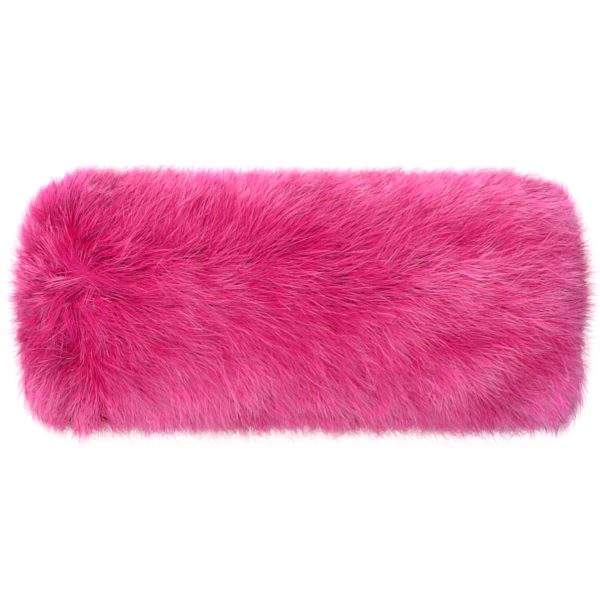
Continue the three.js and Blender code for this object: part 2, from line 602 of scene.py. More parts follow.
@dataclass(frozen=True)
class Changes:
    """How the coat changes over the strip.

    A rise that is marked as facing is read with how far the strip faces up, from -1 to 1, or away from the
    level. The others are read with a place in millimetres.
    """

    on_top: Rise = Rise(-0.1, 0.9)  # facing: how far the pile is combed as on the upper layer
    short_at_part: Rise = Rise(20, 0, 0.45)  # how much less a hair travels near the parting
    short_at_ends: Rise = Rise(20, 0, 0.85)  # and where the strip's two ends meet underneath
    short_outward: float = 0.78  # and where the pile stands straight out
    fold_outward: float = 0.7
    edges_outward: Range = (0.66, 0.62)  # along the lower and the upper edge
    past_edge: float = 2  # how far past the edge of the crown a tip may lie
    fan: float = 0.75  # how far the pile fans out underneath, in degrees for each millimetre

    edge: Rise = Rise(44, 63)  # away from the middle: how far the pile stands straight out
    fold: Rise = Rise(0.9, 0.3)  # facing
    wispy_edges: Range = (0.2, 0.4)  # along the lower and the upper edge

    spiky_fold: Rise = Rise(0.9, 0.5)  # facing
    spiky_left: Rise = Rise(-70, -100, 0.6)
    spiky_below: Rise = Rise(-28, -50, 0.75)
    crest: Mark = Mark(-42, 40, 20, 16)
    spiky_crest: float = 0.8

    underneath: Rise = Rise(-0.2, -0.9)  # facing
    thinner_underneath: float = 0.8
    spared_edges: Rise = Rise(35, 55, 0.6)

    # painted shade: the shares of the hairs darkened, most at the right fold and towards the left end and the
    # lower right corner
    painted_shade_right: Rise = Rise(85, 140)
    painted_shade_left: tuple[Rise, Rise] = (Rise(-85, -135, 0.6), Rise(-45, -20))  # along the band and across it
    painted_shade_below: tuple[Rise, Rise] = (Rise(45, 95, 0.65), Rise(-28, -52))

    tone: float = 0.23
    # painted light: the pile is paler where its tips stand out at the edges and folds, as light shows through
    # them
    painted_light_edge: Rise = Rise(34, 64)
    painted_light_edges: Range = (0.55, 0.66)  # along the lower and the upper edge
    painted_light_fold: Rise = Rise(0.95, 0.2, 0.58)  # facing
    pale_right: Rise = Rise(30, 120, 0.12)
    tones: Range = (-0.04, 1.1)  # the lowest and the highest


@dataclass
class Coat:
    """The strip of fur laid out flat, with its skin, its outer form and the way that it is combed.

    The strip's length runs round the ring along the pile's outer form, and its width across the band from
    the lower edge's inner lip to the upper edge's. A grid on it has one line for each station round the ring.
    """

    ring: Ring
    meeting: float = -86 * MM  # where on the lower layer the two ends of the strip meet
    travel: float = 18 * MM  # how far a hair's tip lies from above its root
    seen_at: float = 0.6  # how far along its way a hair shows the direction that the strip is combed in
    pressed_depth: float = 12.5 * MM  # how deep the pile is underneath, before the table presses it
    least_height: float = 0.6 * MM  # of the outer form over the table
    slit_reach: float = 4.2 * MM  # how far the pile at the edges spreads into the opening
    lip_turn: float = 0.42 * math.pi  # how far round each edge the pile turns into the opening
    squareness: float = 0.7  # how much squarer than round the crown is on the layers
    level_from: float = 0.5  # how far a station faces up where the parting's place is measured along the band
    upper_from: float = 0.2  # and where a tuft can stand
    upper_steps: int = 90
    fold_steps: int = 20
    crown_steps: int = 44
    lip_steps: int = 5
    part: Parting = Parting()
    combing: Combing = Combing()
    changes: Changes = Changes()
    rows: int = field(init=False)
    columns: int = field(init=False)
    pile_reach: float = field(init=False)
    pile_half: float = field(init=False)
    pile_top: float = field(init=False)
    at: Stations = field(init=False)
    skin: np.ndarray = field(init=False)
    form: np.ndarray = field(init=False)
    u: np.ndarray = field(init=False)
    v: np.ndarray = field(init=False)
    comb: np.ndarray = field(init=False)

    def __post_init__(self) -> None:
        """Works out the grid of the strip and everything that is held on it."""
        _, (self.pile_reach, self.pile_half, self.pile_top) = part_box("fur_pile")
        self.at = self.ring.stations(self.meeting, self.upper_steps, self.fold_steps)
        self.columns = len(self.at.x)
        self.rows = self.crown_steps + 1 + 2 * self.lip_steps
        self.skin, self.form = self.surfaces()
        self.u, self.v = self.lengths()
        self.comb = self.combed()

    @property
    def facing(self) -> np.ndarray:
        """How far each station faces up, from -1 to 1, as a column."""
        return self.at.nz[:, None]

    @property
    def on_upper(self) -> np.ndarray:
        """The same from 0, so that the lower layer counts for nothing."""
        return np.clip(self.facing, 0, 1)

    @property
    def marked(self) -> tuple[np.ndarray, np.ndarray]:
        """Where each place is along the band and across it, in millimetres."""
        return self.form[..., 0] / MM, self.form[..., 1] / MM

    def depth(self) -> np.ndarray:
        """How deep the pile is at the middle of each station.

        Returns:
            The depths from the cloth's middle surface.
        """
        at, ring = self.at, self.ring
        fold = self.pile_reach - ring.reach + ring.thickness / 2
        flat = np.where(at.nz > 0, self.pile_top - ring.top, self.pressed_depth)
        return fold + (flat - fold) * at.nz**2

    def valley(self, y: np.ndarray) -> np.ndarray:
        """How much the parting lowers the outer form at each place of a grid across the band."""
        across = self.part.beside(self.at.x[:, None], y) / self.part.half_width
        return self.part.depth * np.exp(-(across**2)) * self.on_upper

    def surfaces(self) -> tuple[np.ndarray, np.ndarray]:
        """The skin, where the hairs are rooted, and the outer form, which their tips reach.

        Returns:
            The two surfaces as grids of points, station by station.
        """
        at, ring = self.at, self.ring
        half = ring.thickness / 2
        drawn = {edge: ring.drawn_in(at.x, edge)[:, None] for edge in (-1, 1)}
        power = 2 / (2 + self.squareness * at.nz**2)[:, None]
        angle = np.linspace(0, math.pi, self.crown_steps + 1)[None, :]
        side = np.where(angle < math.pi / 2, -1, 1)
        tips = np.where(side < 0, self.pile_half - drawn[-1], self.pile_half - drawn[1])
        edges = np.where(side < 0, ring.half_height - drawn[-1], ring.half_height - drawn[1])
        out = side * np.abs(np.cos(angle)) ** power
        y = tips * out
        n = (self.depth()[:, None] - self.valley(y)) * np.sin(angle) ** power
        for bulge in BULGES:
            stretch = bulge.out * MM * bulge.weight(at.x[:, None] / MM, y / MM)
            n, y = n + stretch * np.sin(angle), y - stretch * np.cos(angle)
        parts_form = [np.stack([y, n], 2)]
        parts_skin = [np.stack([edges * out, half + 0 * out], 2)]
        turn = np.linspace(0, self.lip_turn, self.lip_steps + 1)[None, 1:]
        over = self.pile_half - ring.half_height
        for edge in (-1, 1):
            edge_y = edge * (ring.half_height - drawn[edge])
            lip_y, lip_n = edge_y + edge * over * np.cos(turn), -self.slit_reach * np.sin(turn)
            seat_n = half * (1 - 2 * turn / turn.max())
            lip = np.stack([lip_y, lip_n + 0 * edge_y], 2)
            seat = np.stack([edge_y + 0 * turn, seat_n + 0 * edge_y], 2)
            if edge < 0:
                parts_form.insert(0, lip[:, ::-1])
                parts_skin.insert(0, seat[:, ::-1])
            else:
                parts_form.append(lip)
                parts_skin.append(seat)
        skin, form = (self.placed(np.concatenate(parts, 1)) for parts in (parts_skin, parts_form))
        form[..., 2] = np.maximum(form[..., 2], self.least_height)
        return skin, form

    def placed(self, outline: np.ndarray) -> np.ndarray:
        """Sets outlines in the model's frame.

        Args:
            outline: For each station, points of a distance across the band and one along the normal.

        Returns:
            The same points in space.
        """
        at = self.at
        y, n = outline[..., 0], outline[..., 1]
        return np.stack([at.x[:, None] + at.nx[:, None] * n, y, at.z[:, None] + at.nz[:, None] * n], 2)

    def lengths(self) -> tuple[np.ndarray, np.ndarray]:
        """The strip's own coordinates, measured on the outer form.

        Returns:
            The distance along the ring of each station, and across the band of each place on it.
        """
        middle = self.form[:, self.rows // 2]
        u = np.concatenate([[0], np.cumsum(np.linalg.norm(np.diff(middle, axis=0), axis=1))])
        across = self.form[int(np.argmin(np.abs(self.at.x) + (self.at.nz < 0)))]
        v = np.concatenate([[0], np.cumsum(np.linalg.norm(np.diff(across, axis=0), axis=1))])
        return u, v - v[self.rows // 2]

    def combed(self) -> np.ndarray:
        """The way that a hair's tip lies from its root, on the flat strip.

        Returns:
            A grid of two numbers, along the strip and across it, in metres.
        """
        x, y, changes = self.form[..., 0], self.form[..., 1], self.changes
        world = self.direction(x, y)
        seen = self.seen_at * self.travel
        world = self.direction(x + seen * world[..., 0], y + seen * world[..., 1])
        on_top = np.stack([-world[..., 0], world[..., 1]], 2)
        below = self.combed_below(y)
        comb = below + (on_top - below) * changes.on_top.at(self.facing)[..., None]
        comb /= np.linalg.norm(comb, axis=2)[..., None] + ALMOST_NOTHING
        from_part = np.hypot(self.part.beside(x, y), self.part.narrow * (y - self.part.y))
        near_part = np.where(self.facing > 0, changes.short_at_part.at(from_part / MM), 0)
        near_ends = changes.short_at_ends.at(np.minimum(self.u, self.u[-1] - self.u)[:, None] / MM)
        comb = comb * (self.travel * (1 - near_part) * (1 - near_ends))[..., None]
        edge, fold = self.outward()
        fold = changes.fold_outward * fold
        aside = self.by_edge(changes.edges_outward) * edge
        comb *= 1 - changes.short_outward * np.stack([np.maximum(fold, aside), np.maximum(fold, edge)], 2)
        room = self.v[-1 - self.lip_steps] + changes.past_edge * MM
        low, high = np.minimum(-room - self.v, 0)[None], np.maximum(room - self.v, 0)[None]
        comb[..., 1] = np.clip(comb[..., 1], low, high)
        return comb

    def combed_below(self, y: np.ndarray) -> np.ndarray:
        """The way the pile lies underneath: away from below the parting to both sides, and fanned out.

        Args:
            y: The grid's distances across the band.

        Returns:
            A grid of directions along the strip and across it.
        """
        share = np.interp(self.part.x, [-self.ring.turn, self.ring.turn], [1, 0])
        upper = np.flatnonzero(self.at.nz > self.level_from)
        split = self.u[upper[0]] + (self.u[upper[-1]] - self.u[upper[0]]) * share
        way = np.sign(self.u - split)[:, None]
        fan = np.radians(self.changes.fan * y / MM)
        return np.stack([way * np.cos(fan), np.sin(fan)], 2)

    def outward(self) -> tuple[np.ndarray, np.ndarray]:
        """How far the pile stands straight out at each place, from 0 to 1.

        Returns:
            A grid for the edges and one for the folds.
        """
        _, y = self.marked
        edge = self.changes.edge.at(np.abs(y))
        return edge, self.changes.fold.at(np.abs(self.facing)) + 0 * edge

    def by_edge(self, values: Range) -> np.ndarray:
        """The first of two values on the lower half of the band, and the second on the upper half."""
        return np.where(self.form[..., 1] > 0, values[1], values[0])

    def spiky(self) -> np.ndarray:
        """How far the tips of each lock stand together: most at the folds.

        Returns:
            A grid of numbers from 0 to 1.
        """
        (x, y), changes = self.marked, self.changes
        fold = changes.spiky_fold.at(np.abs(self.facing))
        side = np.maximum(changes.spiky_left.at(x), changes.spiky_below.at(y))
        crest = changes.spiky_crest * changes.crest.weight(x, y)
        return np.maximum(np.maximum(fold, side), crest)

    def direction(self, x: np.ndarray, y: np.ndarray) -> np.ndarray:
        """The way the pile lies on the upper layer: as it is combed, but round the parting's middle near it.

        Args:
            x: Distances along the band.
            y: Distances across it.

        Returns:
            The direction along X and Y, as the last axis.
        """
        part = self.part
        x_out, y_out = part.beside(x, y), y - part.y
        radial = np.stack([x_out, y_out], -1) / (np.hypot(x_out, y_out)[..., None] + part.pivot)
        near = 1 - smooth_step(0, part.reach, x_out)[..., None]
        swirl = np.radians(part.swirl) * part.swirl_left.at(x_out) * part.swirl_below.at(y_out)
        swirl = (swirl * np.exp(np.minimum(x_out, 0) / part.swirl_reach))[..., None]
        radial = radial * np.cos(swirl) + np.stack([radial[..., 1], -radial[..., 0]], -1) * np.sin(swirl)
        world = self.combing.direction(x, y)
        world = world + (radial - world) * near
        world = world / (np.linalg.norm(world, axis=-1)[..., None] + ALMOST_NOTHING)
        turned = np.zeros_like(x)
        for turn in TURNS:
            turned += math.radians(turn.left) * turn.weight(x / MM, y / MM)
        cos, sin = np.cos(turned), np.sin(turned)
        right, up = world[..., 0], world[..., 1]
        return np.stack([right * cos - up * sin, right * sin + up * cos], -1)

    def unruly(self) -> np.ndarray:
        """How far the hairs cross each other: most at the parting.

        Returns:
            A grid of numbers from 0 to a little over 1.
        """
        x, y, part = self.form[..., 0], self.form[..., 1], self.part
        beside, up = part.beside(x, y) / MM, (y - part.y) / MM
        line = part.tangled * part.tangle.weight(beside, up)
        return (line + part.knotted * part.knot.weight(beside, up)) * self.on_upper

    def share(self) -> np.ndarray:
        """How thickly each place is planted: thinly where the pile lies on the floor, and in the gaps.

        Returns:
            A grid of shares, 1 where the coat is as thick as it mostly is.
        """
        (x, y), changes = self.marked, self.changes
        thinner = changes.thinner_underneath - changes.spared_edges.at(np.abs(y))
        share = 1 - changes.underneath.at(self.facing) * thinner
        for gap in GAPS:
            share = share * np.where(self.facing > 0, gap.left(x, y), 1)
        return share

    def dusk(self) -> np.ndarray:
        """How many of the hairs are darkened as painted shade at each place: most at the right fold.

        Returns:
            A grid of shares.
        """
        (x, y), changes = self.marked, self.changes
        corners = [along.at(x) * across.at(y) for along, across in (changes.painted_shade_left, changes.painted_shade_below)]
        return np.maximum(changes.painted_shade_right.at(x), np.maximum(*corners))

    def tone(self) -> np.ndarray:
        """How pale the pile is: paler at its edges and folds, which is painted light through the tips there,
        and darker along the upper half of the parting, which is a painted shadow in its valley.

        Returns:
            A grid of numbers from about 0 to about 1.
        """
        (x, y), changes, part = self.marked, self.changes, self.part
        # painted light at the edges and folds
        edge = changes.painted_light_edge.at(np.abs(y)) * self.by_edge(changes.painted_light_edges)
        fold = changes.painted_light_fold.at(np.abs(self.facing))
        tone = changes.tone + np.maximum(edge, fold) + changes.pale_right.at(x)
        for patch in PATCHES:
            tone += patch.paler * patch.weight(x, y)
        line = part.beside(x * MM, y * MM) / (part.shadow_width * MM)
        low_end, high_end = part.shadow_ends
        tone -= part.shadow * np.exp(-(line**2)) * low_end.at(y) * high_end.at(y)
        return np.clip(tone, *changes.tones)

    def notes(self) -> dict[str, np.ndarray]:
        """What the strip tells the hairs.

        Returns:
            Grids of numbers, mostly from 0 to 1, by name.
        """
        edge, fold = self.outward()
        wispy_edge = self.by_edge(self.changes.wispy_edges) * edge
        return {
            "share": self.share(),
            "tone": self.tone(),
            "dusk": self.dusk(),
            "unruly": self.unruly(),
            "outward": np.maximum(edge, fold * self.changes.fold_outward),
            "spiky": self.spiky(),
            "fold": fold,
            "wispy": np.maximum(wispy_edge, fold),
            "everywhere": np.ones_like(fold),
        }

    def flat_place(self, places: np.ndarray) -> np.ndarray:
        """Where places on the upper layer are on the flat strip.

        Args:
            places: Rows of a distance along X and one along Y.

        Returns:
            Rows of a distance along the strip and one across it.
        """
        upper = np.flatnonzero(self.at.nz > self.upper_from)[::-1]
        column = np.interp(places[:, 0], self.form[upper, self.rows // 2, 0], upper)
        crown = slice(self.lip_steps, self.rows - self.lip_steps)
        v = [np.interp(y, self.form[round(c), crown, 1], self.v[crown]) for y, c in zip(places[:, 1], column)]
        return np.stack([np.interp(column, np.arange(self.columns), self.u), v], 1)

    def read(self, grid: np.ndarray, places: np.ndarray) -> np.ndarray:
        """What a grid holds at places of the flat strip.

        Args:
            grid: The grid, whose last axis holds the numbers of one place.
            places: Rows of a distance along the strip and one across it.

        Returns:
            The numbers at each place, worked out between the four nearest places of the grid.
        """
        i = np.interp(places[:, 0], self.u, np.arange(self.columns))
        j = np.interp(places[:, 1], self.v, np.arange(self.rows))
        low_i, low_j = np.minimum(i.astype(int), self.columns - 2), np.minimum(j.astype(int), self.rows - 2)
        i, j = (i - low_i)[:, None], (j - low_j)[:, None]
        near = grid[low_i, low_j] * (1 - j) + grid[low_i, low_j + 1] * j
        far = grid[low_i + 1, low_j] * (1 - j) + grid[low_i + 1, low_j + 1] * j
        return near * (1 - i) + far * i

    def mesh(self, name: str, notes: dict[str, np.ndarray]) -> bpy.types.Mesh:
        """The strip as a flat mesh that carries what the hairs are made from.

        Args:
            name: The mesh's name.
            notes: What it tells the hairs, as grids of numbers by name.

        Returns:
            The mesh, in the strip's own coordinates.
        """
        columns, rows = self.columns, self.rows
        places = np.zeros((columns, rows, 3))
        places[..., 0], places[..., 1] = self.u[:, None], self.v[None, :]
        index = np.arange(columns * rows).reshape(columns, rows)
        faces = np.stack([index[:-1, :-1], index[1:, :-1], index[1:, 1:], index[:-1, 1:]], 2).reshape(-1, 4)
        mesh = bpy.data.meshes.new(name)
        mesh.from_pydata(places.reshape(-1, 3).tolist(), [], faces.tolist())
        comb = np.concatenate([self.comb, np.zeros((columns, rows, 1))], 2)
        for label, values in {"skin": self.skin, "form": self.form, "comb": comb, **notes}.items():
            hold(mesh, label, values)
        return mesh


# ------------------------------------------------------------------ geometry nodes


@dataclass(frozen=True)
class Ripple:
    """Smooth noise over the flat strip, from about -1 to 1 times its size."""

    fineness: float  # of its ripples, in a metre
    shift: float  # where on the noise it starts, so that no two are alike
    size: float = 1.0
    along: float = 1.0  # 1, or less where the ripples are drawn out along the strip
    across: float = 1.0  # the same across it
    evening: float = 3.2  # what brings the noise, from 0 to 1 and mostly near 0.5, to -1 and 1


class Draw(Enum):
    """What is drawn by lot for each hair, or for each lock or tuft, by the seed of the draw."""

    LOCK_TURN = 3
    TUFT_TURN = 4
    LOCK_TALL = 5
    OWN_TURN = 6
    OWN_TURN_AGAIN = 7
    REACH = 8
    RISE = 9
    LOCK_TONE = 10
    PALER = 11
    LOCK_BEND = 12
    OWN_BEND = 13
    STIFF = 14
    GIRTH = 15
    WISP = 16
    WISP_AGAIN = 17
    DARKER = 18
    DULL = 19
    LOCK_ALONG = 20
    LOCK_ACROSS = 21
    TUFT_ALONG = 22
    TUFT_ACROSS = 23


class Value:
    """A socket of a node tree that takes part in sums like a number."""

    def __init__(self, maker: "Maker", socket: bpy.types.NodeSocket) -> None:
        """Holds the socket and the tree's maker."""
        self.maker = maker
        self.socket = socket

    @property
    def is_vector(self) -> bool:
        """Whether the socket gives a vector."""
        return self.socket.type == "VECTOR"

    def combined(self, other: Any, operation: str) -> "Value":
        """This and another value, by one operation.

        Args:
            other: A number, a vector as a tuple, or another value.
            operation: What is done with the two, by the node's own word for it.

        Returns:
            The outcome, which is a vector where either of them is one.
        """
        with_vector = isinstance(other, tuple) or getattr(other, "is_vector", False)
        if not (self.is_vector or with_vector):
            return self.maker.math(operation, self, other)
        if operation == "MULTIPLY" and not with_vector:
            return self.maker.vector("SCALE", self, Scale=other)
        return self.maker.vector(operation, self, other)

    def __add__(self, other: Any) -> "Value":
        """The sum."""
        return self.combined(other, "ADD")

    def __sub__(self, other: Any) -> "Value":
        """The difference."""
        return self.combined(other, "SUBTRACT")

    def __mul__(self, other: Any) -> "Value":
        """The product."""
        return self.combined(other, "MULTIPLY")


def feed(socket: bpy.types.NodeSocket, value: Any) -> None:
    """Gives an input of a node its value.

    Args:
        socket: The input.
        value: A value or a socket to link to it, or what it is set to.
    """
    source = value.socket if isinstance(value, Value) else value
    if isinstance(source, bpy.types.NodeSocket):
        socket.id_data.links.new(source, socket)
    else:
        socket.default_value = source


class Maker:
    """Makes one Geometry Nodes tree, whose inputs are named."""

    def __init__(self, name: str) -> None:
        """Starts a tree with a geometry input and a geometry output.

        Args:
            name: The tree's name.
        """
        self.tree = bpy.data.node_groups.new(name, "GeometryNodeTree")
        self.tree.is_modifier = True
        for way in ("INPUT", "OUTPUT"):
            self.tree.interface.new_socket("Geometry", in_out=way, socket_type="NodeSocketGeometry")
        self.ids: dict[str, str] = {}
        self.source = self.tree.nodes.new("NodeGroupInput")

    def input(self, name: str, kind: str = "Float") -> Value:
        """A named input of the tree.

        Args:
            name: The input's name.
            kind: Its socket type, such as Float.

        Returns:
            The input, ready to be used.
        """
        item = self.tree.interface.new_socket(name, in_out="INPUT", socket_type=f"NodeSocket{kind}")
        self.ids[name] = item.identifier
        return Value(self, self.source.outputs[name])

    def node(self, kind: str, inputs: dict[str | int, Any] | None = None, **settings: Any) -> bpy.types.Node:
        """A node with its settings and inputs.

        Args:
            kind: The node's type.
            inputs: Values or sockets for its inputs, by name or number.
            **settings: The node's own properties.

        Returns:
            The node.
        """
        made = self.tree.nodes.new(kind)
        for name, value in settings.items():
            setattr(made, name, value)
        for name, value in (inputs or {}).items():
            feed(made.inputs[name], value)
        return made

    def math(self, operation: str, *values: Any) -> Value:
        """A sum on numbers."""
        made = self.node("ShaderNodeMath", dict(enumerate(values)), operation=operation)
        return Value(self, made.outputs[0])

    def vector(self, operation: str, *values: Any, **named: Any) -> Value:
        """A sum on vectors.

        Args:
            operation: The node's own word for it.
            *values: What it works on.
            **named: The inputs that are better known by name.

        Returns:
            The outcome, which is a number where the operation gives one.
        """
        made = self.node("ShaderNodeVectorMath", dict(enumerate(values)) | named, operation=operation)
        number = operation in ("LENGTH", "DOT_PRODUCT", "DISTANCE")
        return Value(self, made.outputs["Value" if number else "Vector"])

    def mix(self, share: Any, start: Value, end: Value) -> Value:
        """A value between two others."""
        return start + (end - start) * share

    def parts(self, value: Value) -> list[Value]:
        """The three parts of a vector."""
        made = self.node("ShaderNodeSeparateXYZ", {0: value})
        return [Value(self, socket) for socket in made.outputs]

    def whole(self, x: Any, y: Any, z: Any = 0.0) -> Value:
        """A vector of three numbers."""
        made = self.node("ShaderNodeCombineXYZ", {0: x, 1: y, 2: z})
        return Value(self, made.outputs[0])

    def position(self) -> Value:
        """Where each point is."""
        return Value(self, self.node("GeometryNodeInputPosition").outputs[0])

    def named(self, name: str, kind: str = "FLOAT") -> Value:
        """An attribute of the geometry."""
        made = self.node("GeometryNodeInputNamedAttribute", {"Name": name}, data_type=kind)
        return Value(self, made.outputs[0])

    def named_vector(self, name: str) -> Value:
        """An attribute of the geometry that holds vectors."""
        return self.named(name, "FLOAT_VECTOR")

    def store(self, geometry: Any, name: str, value: Value, kind: str, domain: str = "POINT") -> Value:
        """The geometry with one more attribute.

        Args:
            geometry: The geometry.
            name: The attribute's name.
            value: What it holds.
            kind: The type of what it holds.
            domain: What it is held on.

        Returns:
            The geometry with the attribute.
        """
        inputs = {"Geometry": geometry, "Name": name, "Value": value}
        made = self.node("GeometryNodeStoreNamedAttribute", inputs, data_type=kind, domain=domain)
        return Value(self, made.outputs[0])

    def random(self, draw: Draw, low: Any = -1.0, high: Any = 1.0, ident: Value | None = None) -> Value:
        """A random number for each point.

        Args:
            draw: What is drawn.
            low: The lowest number.
            high: The highest.
            ident: Where it is given, points with the same ident have the same number.

        Returns:
            The number.
        """
        made = self.node("FunctionNodeRandomValue", data_type="FLOAT")
        for socket, value in zip([s for s in made.inputs if s.enabled], (low, high), strict=False):
            feed(socket, value)
        feed(made.inputs["Seed"], draw.value)
        if ident is not None:
            feed(made.inputs["ID"], ident)
        return Value(self, next(s for s in made.outputs if s.enabled))

    def noise(self, at: Value, ripple: Ripple) -> Value:
        """Smooth noise on the flat strip.

        Args:
            at: The place on the strip.
            ripple: Which noise it is.

        Returns:
            The noise there.
        """
        place = at * (ripple.along, ripple.across, 1.0) + (ripple.shift, 0.0, 0.0)
        inputs = {"Vector": place, "Scale": ripple.fineness, "Detail": 1.0, "Roughness": 0.5}
        made = self.node("ShaderNodeTexNoise", inputs)
        return (Value(self, made.outputs[0]) - 0.5) * ripple.evening * ripple.size

    def turned(self, value: Value, angle: Any) -> Value:
        """A vector on the flat strip, turned by an angle."""
        inputs = {"Vector": value, "Angle": angle}
        return Value(self, self.node("ShaderNodeVectorRotate", inputs, rotation_type="Z_AXIS").outputs[0])

    def planted(self, geometry: Any, density: Any, seed: Any, spacing: Any = None) -> Value:
        """Points on the faces of a mesh.

        Args:
            geometry: The mesh.
            density: How many points there are on a square metre.
            seed: The seed of their places.
            spacing: Where it is given, the least distance between two points.

        Returns:
            The points.
        """
        inputs = {"Mesh": geometry, "Seed": seed}
        if spacing is None:
            method, inputs["Density"] = "RANDOM", density
        else:
            method, inputs["Density Max"], inputs["Distance Min"] = "POISSON", density, spacing
        made = self.node("GeometryNodeDistributePointsOnFaces", inputs, distribute_method=method)
        return Value(self, made.outputs["Points"])

    def sampled(self, mesh: Any, value: Value, at: Value) -> Value:
        """A vector that a mesh holds at the place nearest to a point.

        Args:
            mesh: The mesh.
            value: What is read on it.
            at: The point.

        Returns:
            The vector there.
        """
        inputs = {"Mesh": mesh, "Value": value, "Sample Position": at}
        made = self.node("GeometryNodeSampleNearestSurface", inputs, data_type="FLOAT_VECTOR")
        return Value(self, made.outputs["Value"])

    def nearest(self, points: Any, at: Value) -> Value:
        """Which of some points is nearest to each place."""
        made = self.node("GeometryNodeSampleNearest", {"Geometry": points, "Sample Position": at})
        return Value(self, made.outputs[0])

    def of_point(self, points: Any, vector: Value, index: Value) -> Value:
        """A vector that one of some points has."""
        inputs = {"Geometry": points, "Value": vector, "Index": index}
        return Value(self, self.node("GeometryNodeSampleIndex", inputs, data_type="FLOAT_VECTOR").outputs[0])

    def finish(self, geometry: Value) -> None:
        """Ends the tree."""
        self.node("NodeGroupOutput", {0: geometry})


# ------------------------------------------------------------------ the hairs


class Sort(Enum):
    """The sorts of hair in the coat."""

    GUARD = "guard_hairs"
    DOWN = "down_hairs"
    STRAY = "stray_hairs"
    WISP = "wisp_hairs"
    TUFT = "tuft_hairs"


@dataclass(frozen=True)
class Growth:
    """How one sort of hair is planted and how it grows. A range is given as its lowest and highest value."""

    sort: Sort
    batches: int
    count: int  # hairs in a batch
    width: float  # of a hair at its thickest place, from its middle outwards
    start: float  # how far up the pile the part that can be seen starts
    rise: Range  # how high the tips stand, as a share of the pile's depth
    reach: Range  # how far they travel, as a share of the comb's travel
    stiff: Range  # 0 where a hair follows the pile's outer form and 1 where it grows straight
    lock_pull: float  # how far a tip is drawn to the middle of its lock
    lock_turn: float  # how far a lock may turn from the way that it is combed, in radians
    own_turn: float  # the same for one hair
    bend: float  # how far a hair may curl, as a share of its way
    paler: float
    seed: int
    thickest: float = 0.5  # how far along a hair its thickest place is, and 0 where its root is cut flat
    where: str = "everywhere"  # the note that says how thickly they are planted


@dataclass(frozen=True)
class Habit:
    """What all sorts of hair have in common. Turns are in radians, heights in shares of the pile's depth."""

    lock_spacing: float = 3.2 * MM
    tuft_spacing: float = 9 * MM
    gathering_seed: int = 11
    most_gathered: float = 1e6  # locks or tufts tried on a square metre, before the spacing thins them out
    tuft_pull: float = 0.22
    spiky_pull: float = 0.35  # added to the pull of a lock where its tips stand together

    wide_turn: Ripple = Ripple(fineness=38.0, shift=0.0, size=0.2)
    narrow_turn: Ripple = Ripple(fineness=120.0, shift=3.0, size=0.2)
    tuft_turn: float = 0.12
    unruly_lock: float = 0.25  # added to the turn of a lock where the coat is unruly
    unruly_tuft: float = 0.2
    unruly_hair: float = 0.12
    lock_astray: float = 5 * MM  # how far from itself a lock finds the way that it is combed
    tuft_astray: float = 8 * MM
    unruly_astray: float = -0.5  # added to that, as a share, where the coat is unruly
    tall_reach: float = 0.12  # how much further the hairs of the tallest locks travel

    tall: float = 0.06  # how much higher the tallest locks stand
    spiky_tall: float = 0.1
    uneven: Ripple = Ripple(fineness=70.0, shift=7.0, size=0.08)
    fold_even: float = 0.5  # how much of this unevenness the folds are without
    wisps: float = 0.5  # how much longer single hairs are where the pile stands outwards
    outward_uneven: Ripple = Ripple(fineness=32.0, shift=9.0, size=0.08)
    outward_lower: float = 0.04
    fold_teeth: Ripple = Ripple(fineness=330.0, shift=11.0, along=0.1)
    teeth_level: float = 0.4
    teeth_height: float = 0.42
    edge_teeth: Ripple = Ripple(fineness=150.0, shift=13.0, size=0.06, across=0.1)
    slope: float = 70.0  # how much lower a hair stands for each metre that it is off the middle of its lock
    spiky_slope: float = 70.0
    outward_slope: float = -40.0
    highest: float = 1.48

    lock_tone: float = 0.2
    own_tone: float = 0.74
    outward_tone: float = -0.6  # added to that, as a share, where the pile stands outwards
    tone_ripple: Ripple = Ripple(fineness=55.0, shift=5.0, size=0.1)
    painted_shade_off_lock: float = 50.0  # painted shade: how much darker a hair is for each metre that it is off the middle of its lock
    tone: float = 0.06

    outward_girth: float = -0.35  # added to a hair's thickness, as a share, where the pile stands outwards
    flatness: float = 0.6  # how thick a hair is across its width
    early: float = 0.55  # the share of its way that a hair makes evenly, before it bends over
    step: float = 0.04  # how far along a hair its direction is read
    over_table: float = 0.3 * MM
    tip_over_table: float = 0.4 * MM  # how much higher a tip stays than its root
    side_over_table: float = 0.2 * MM


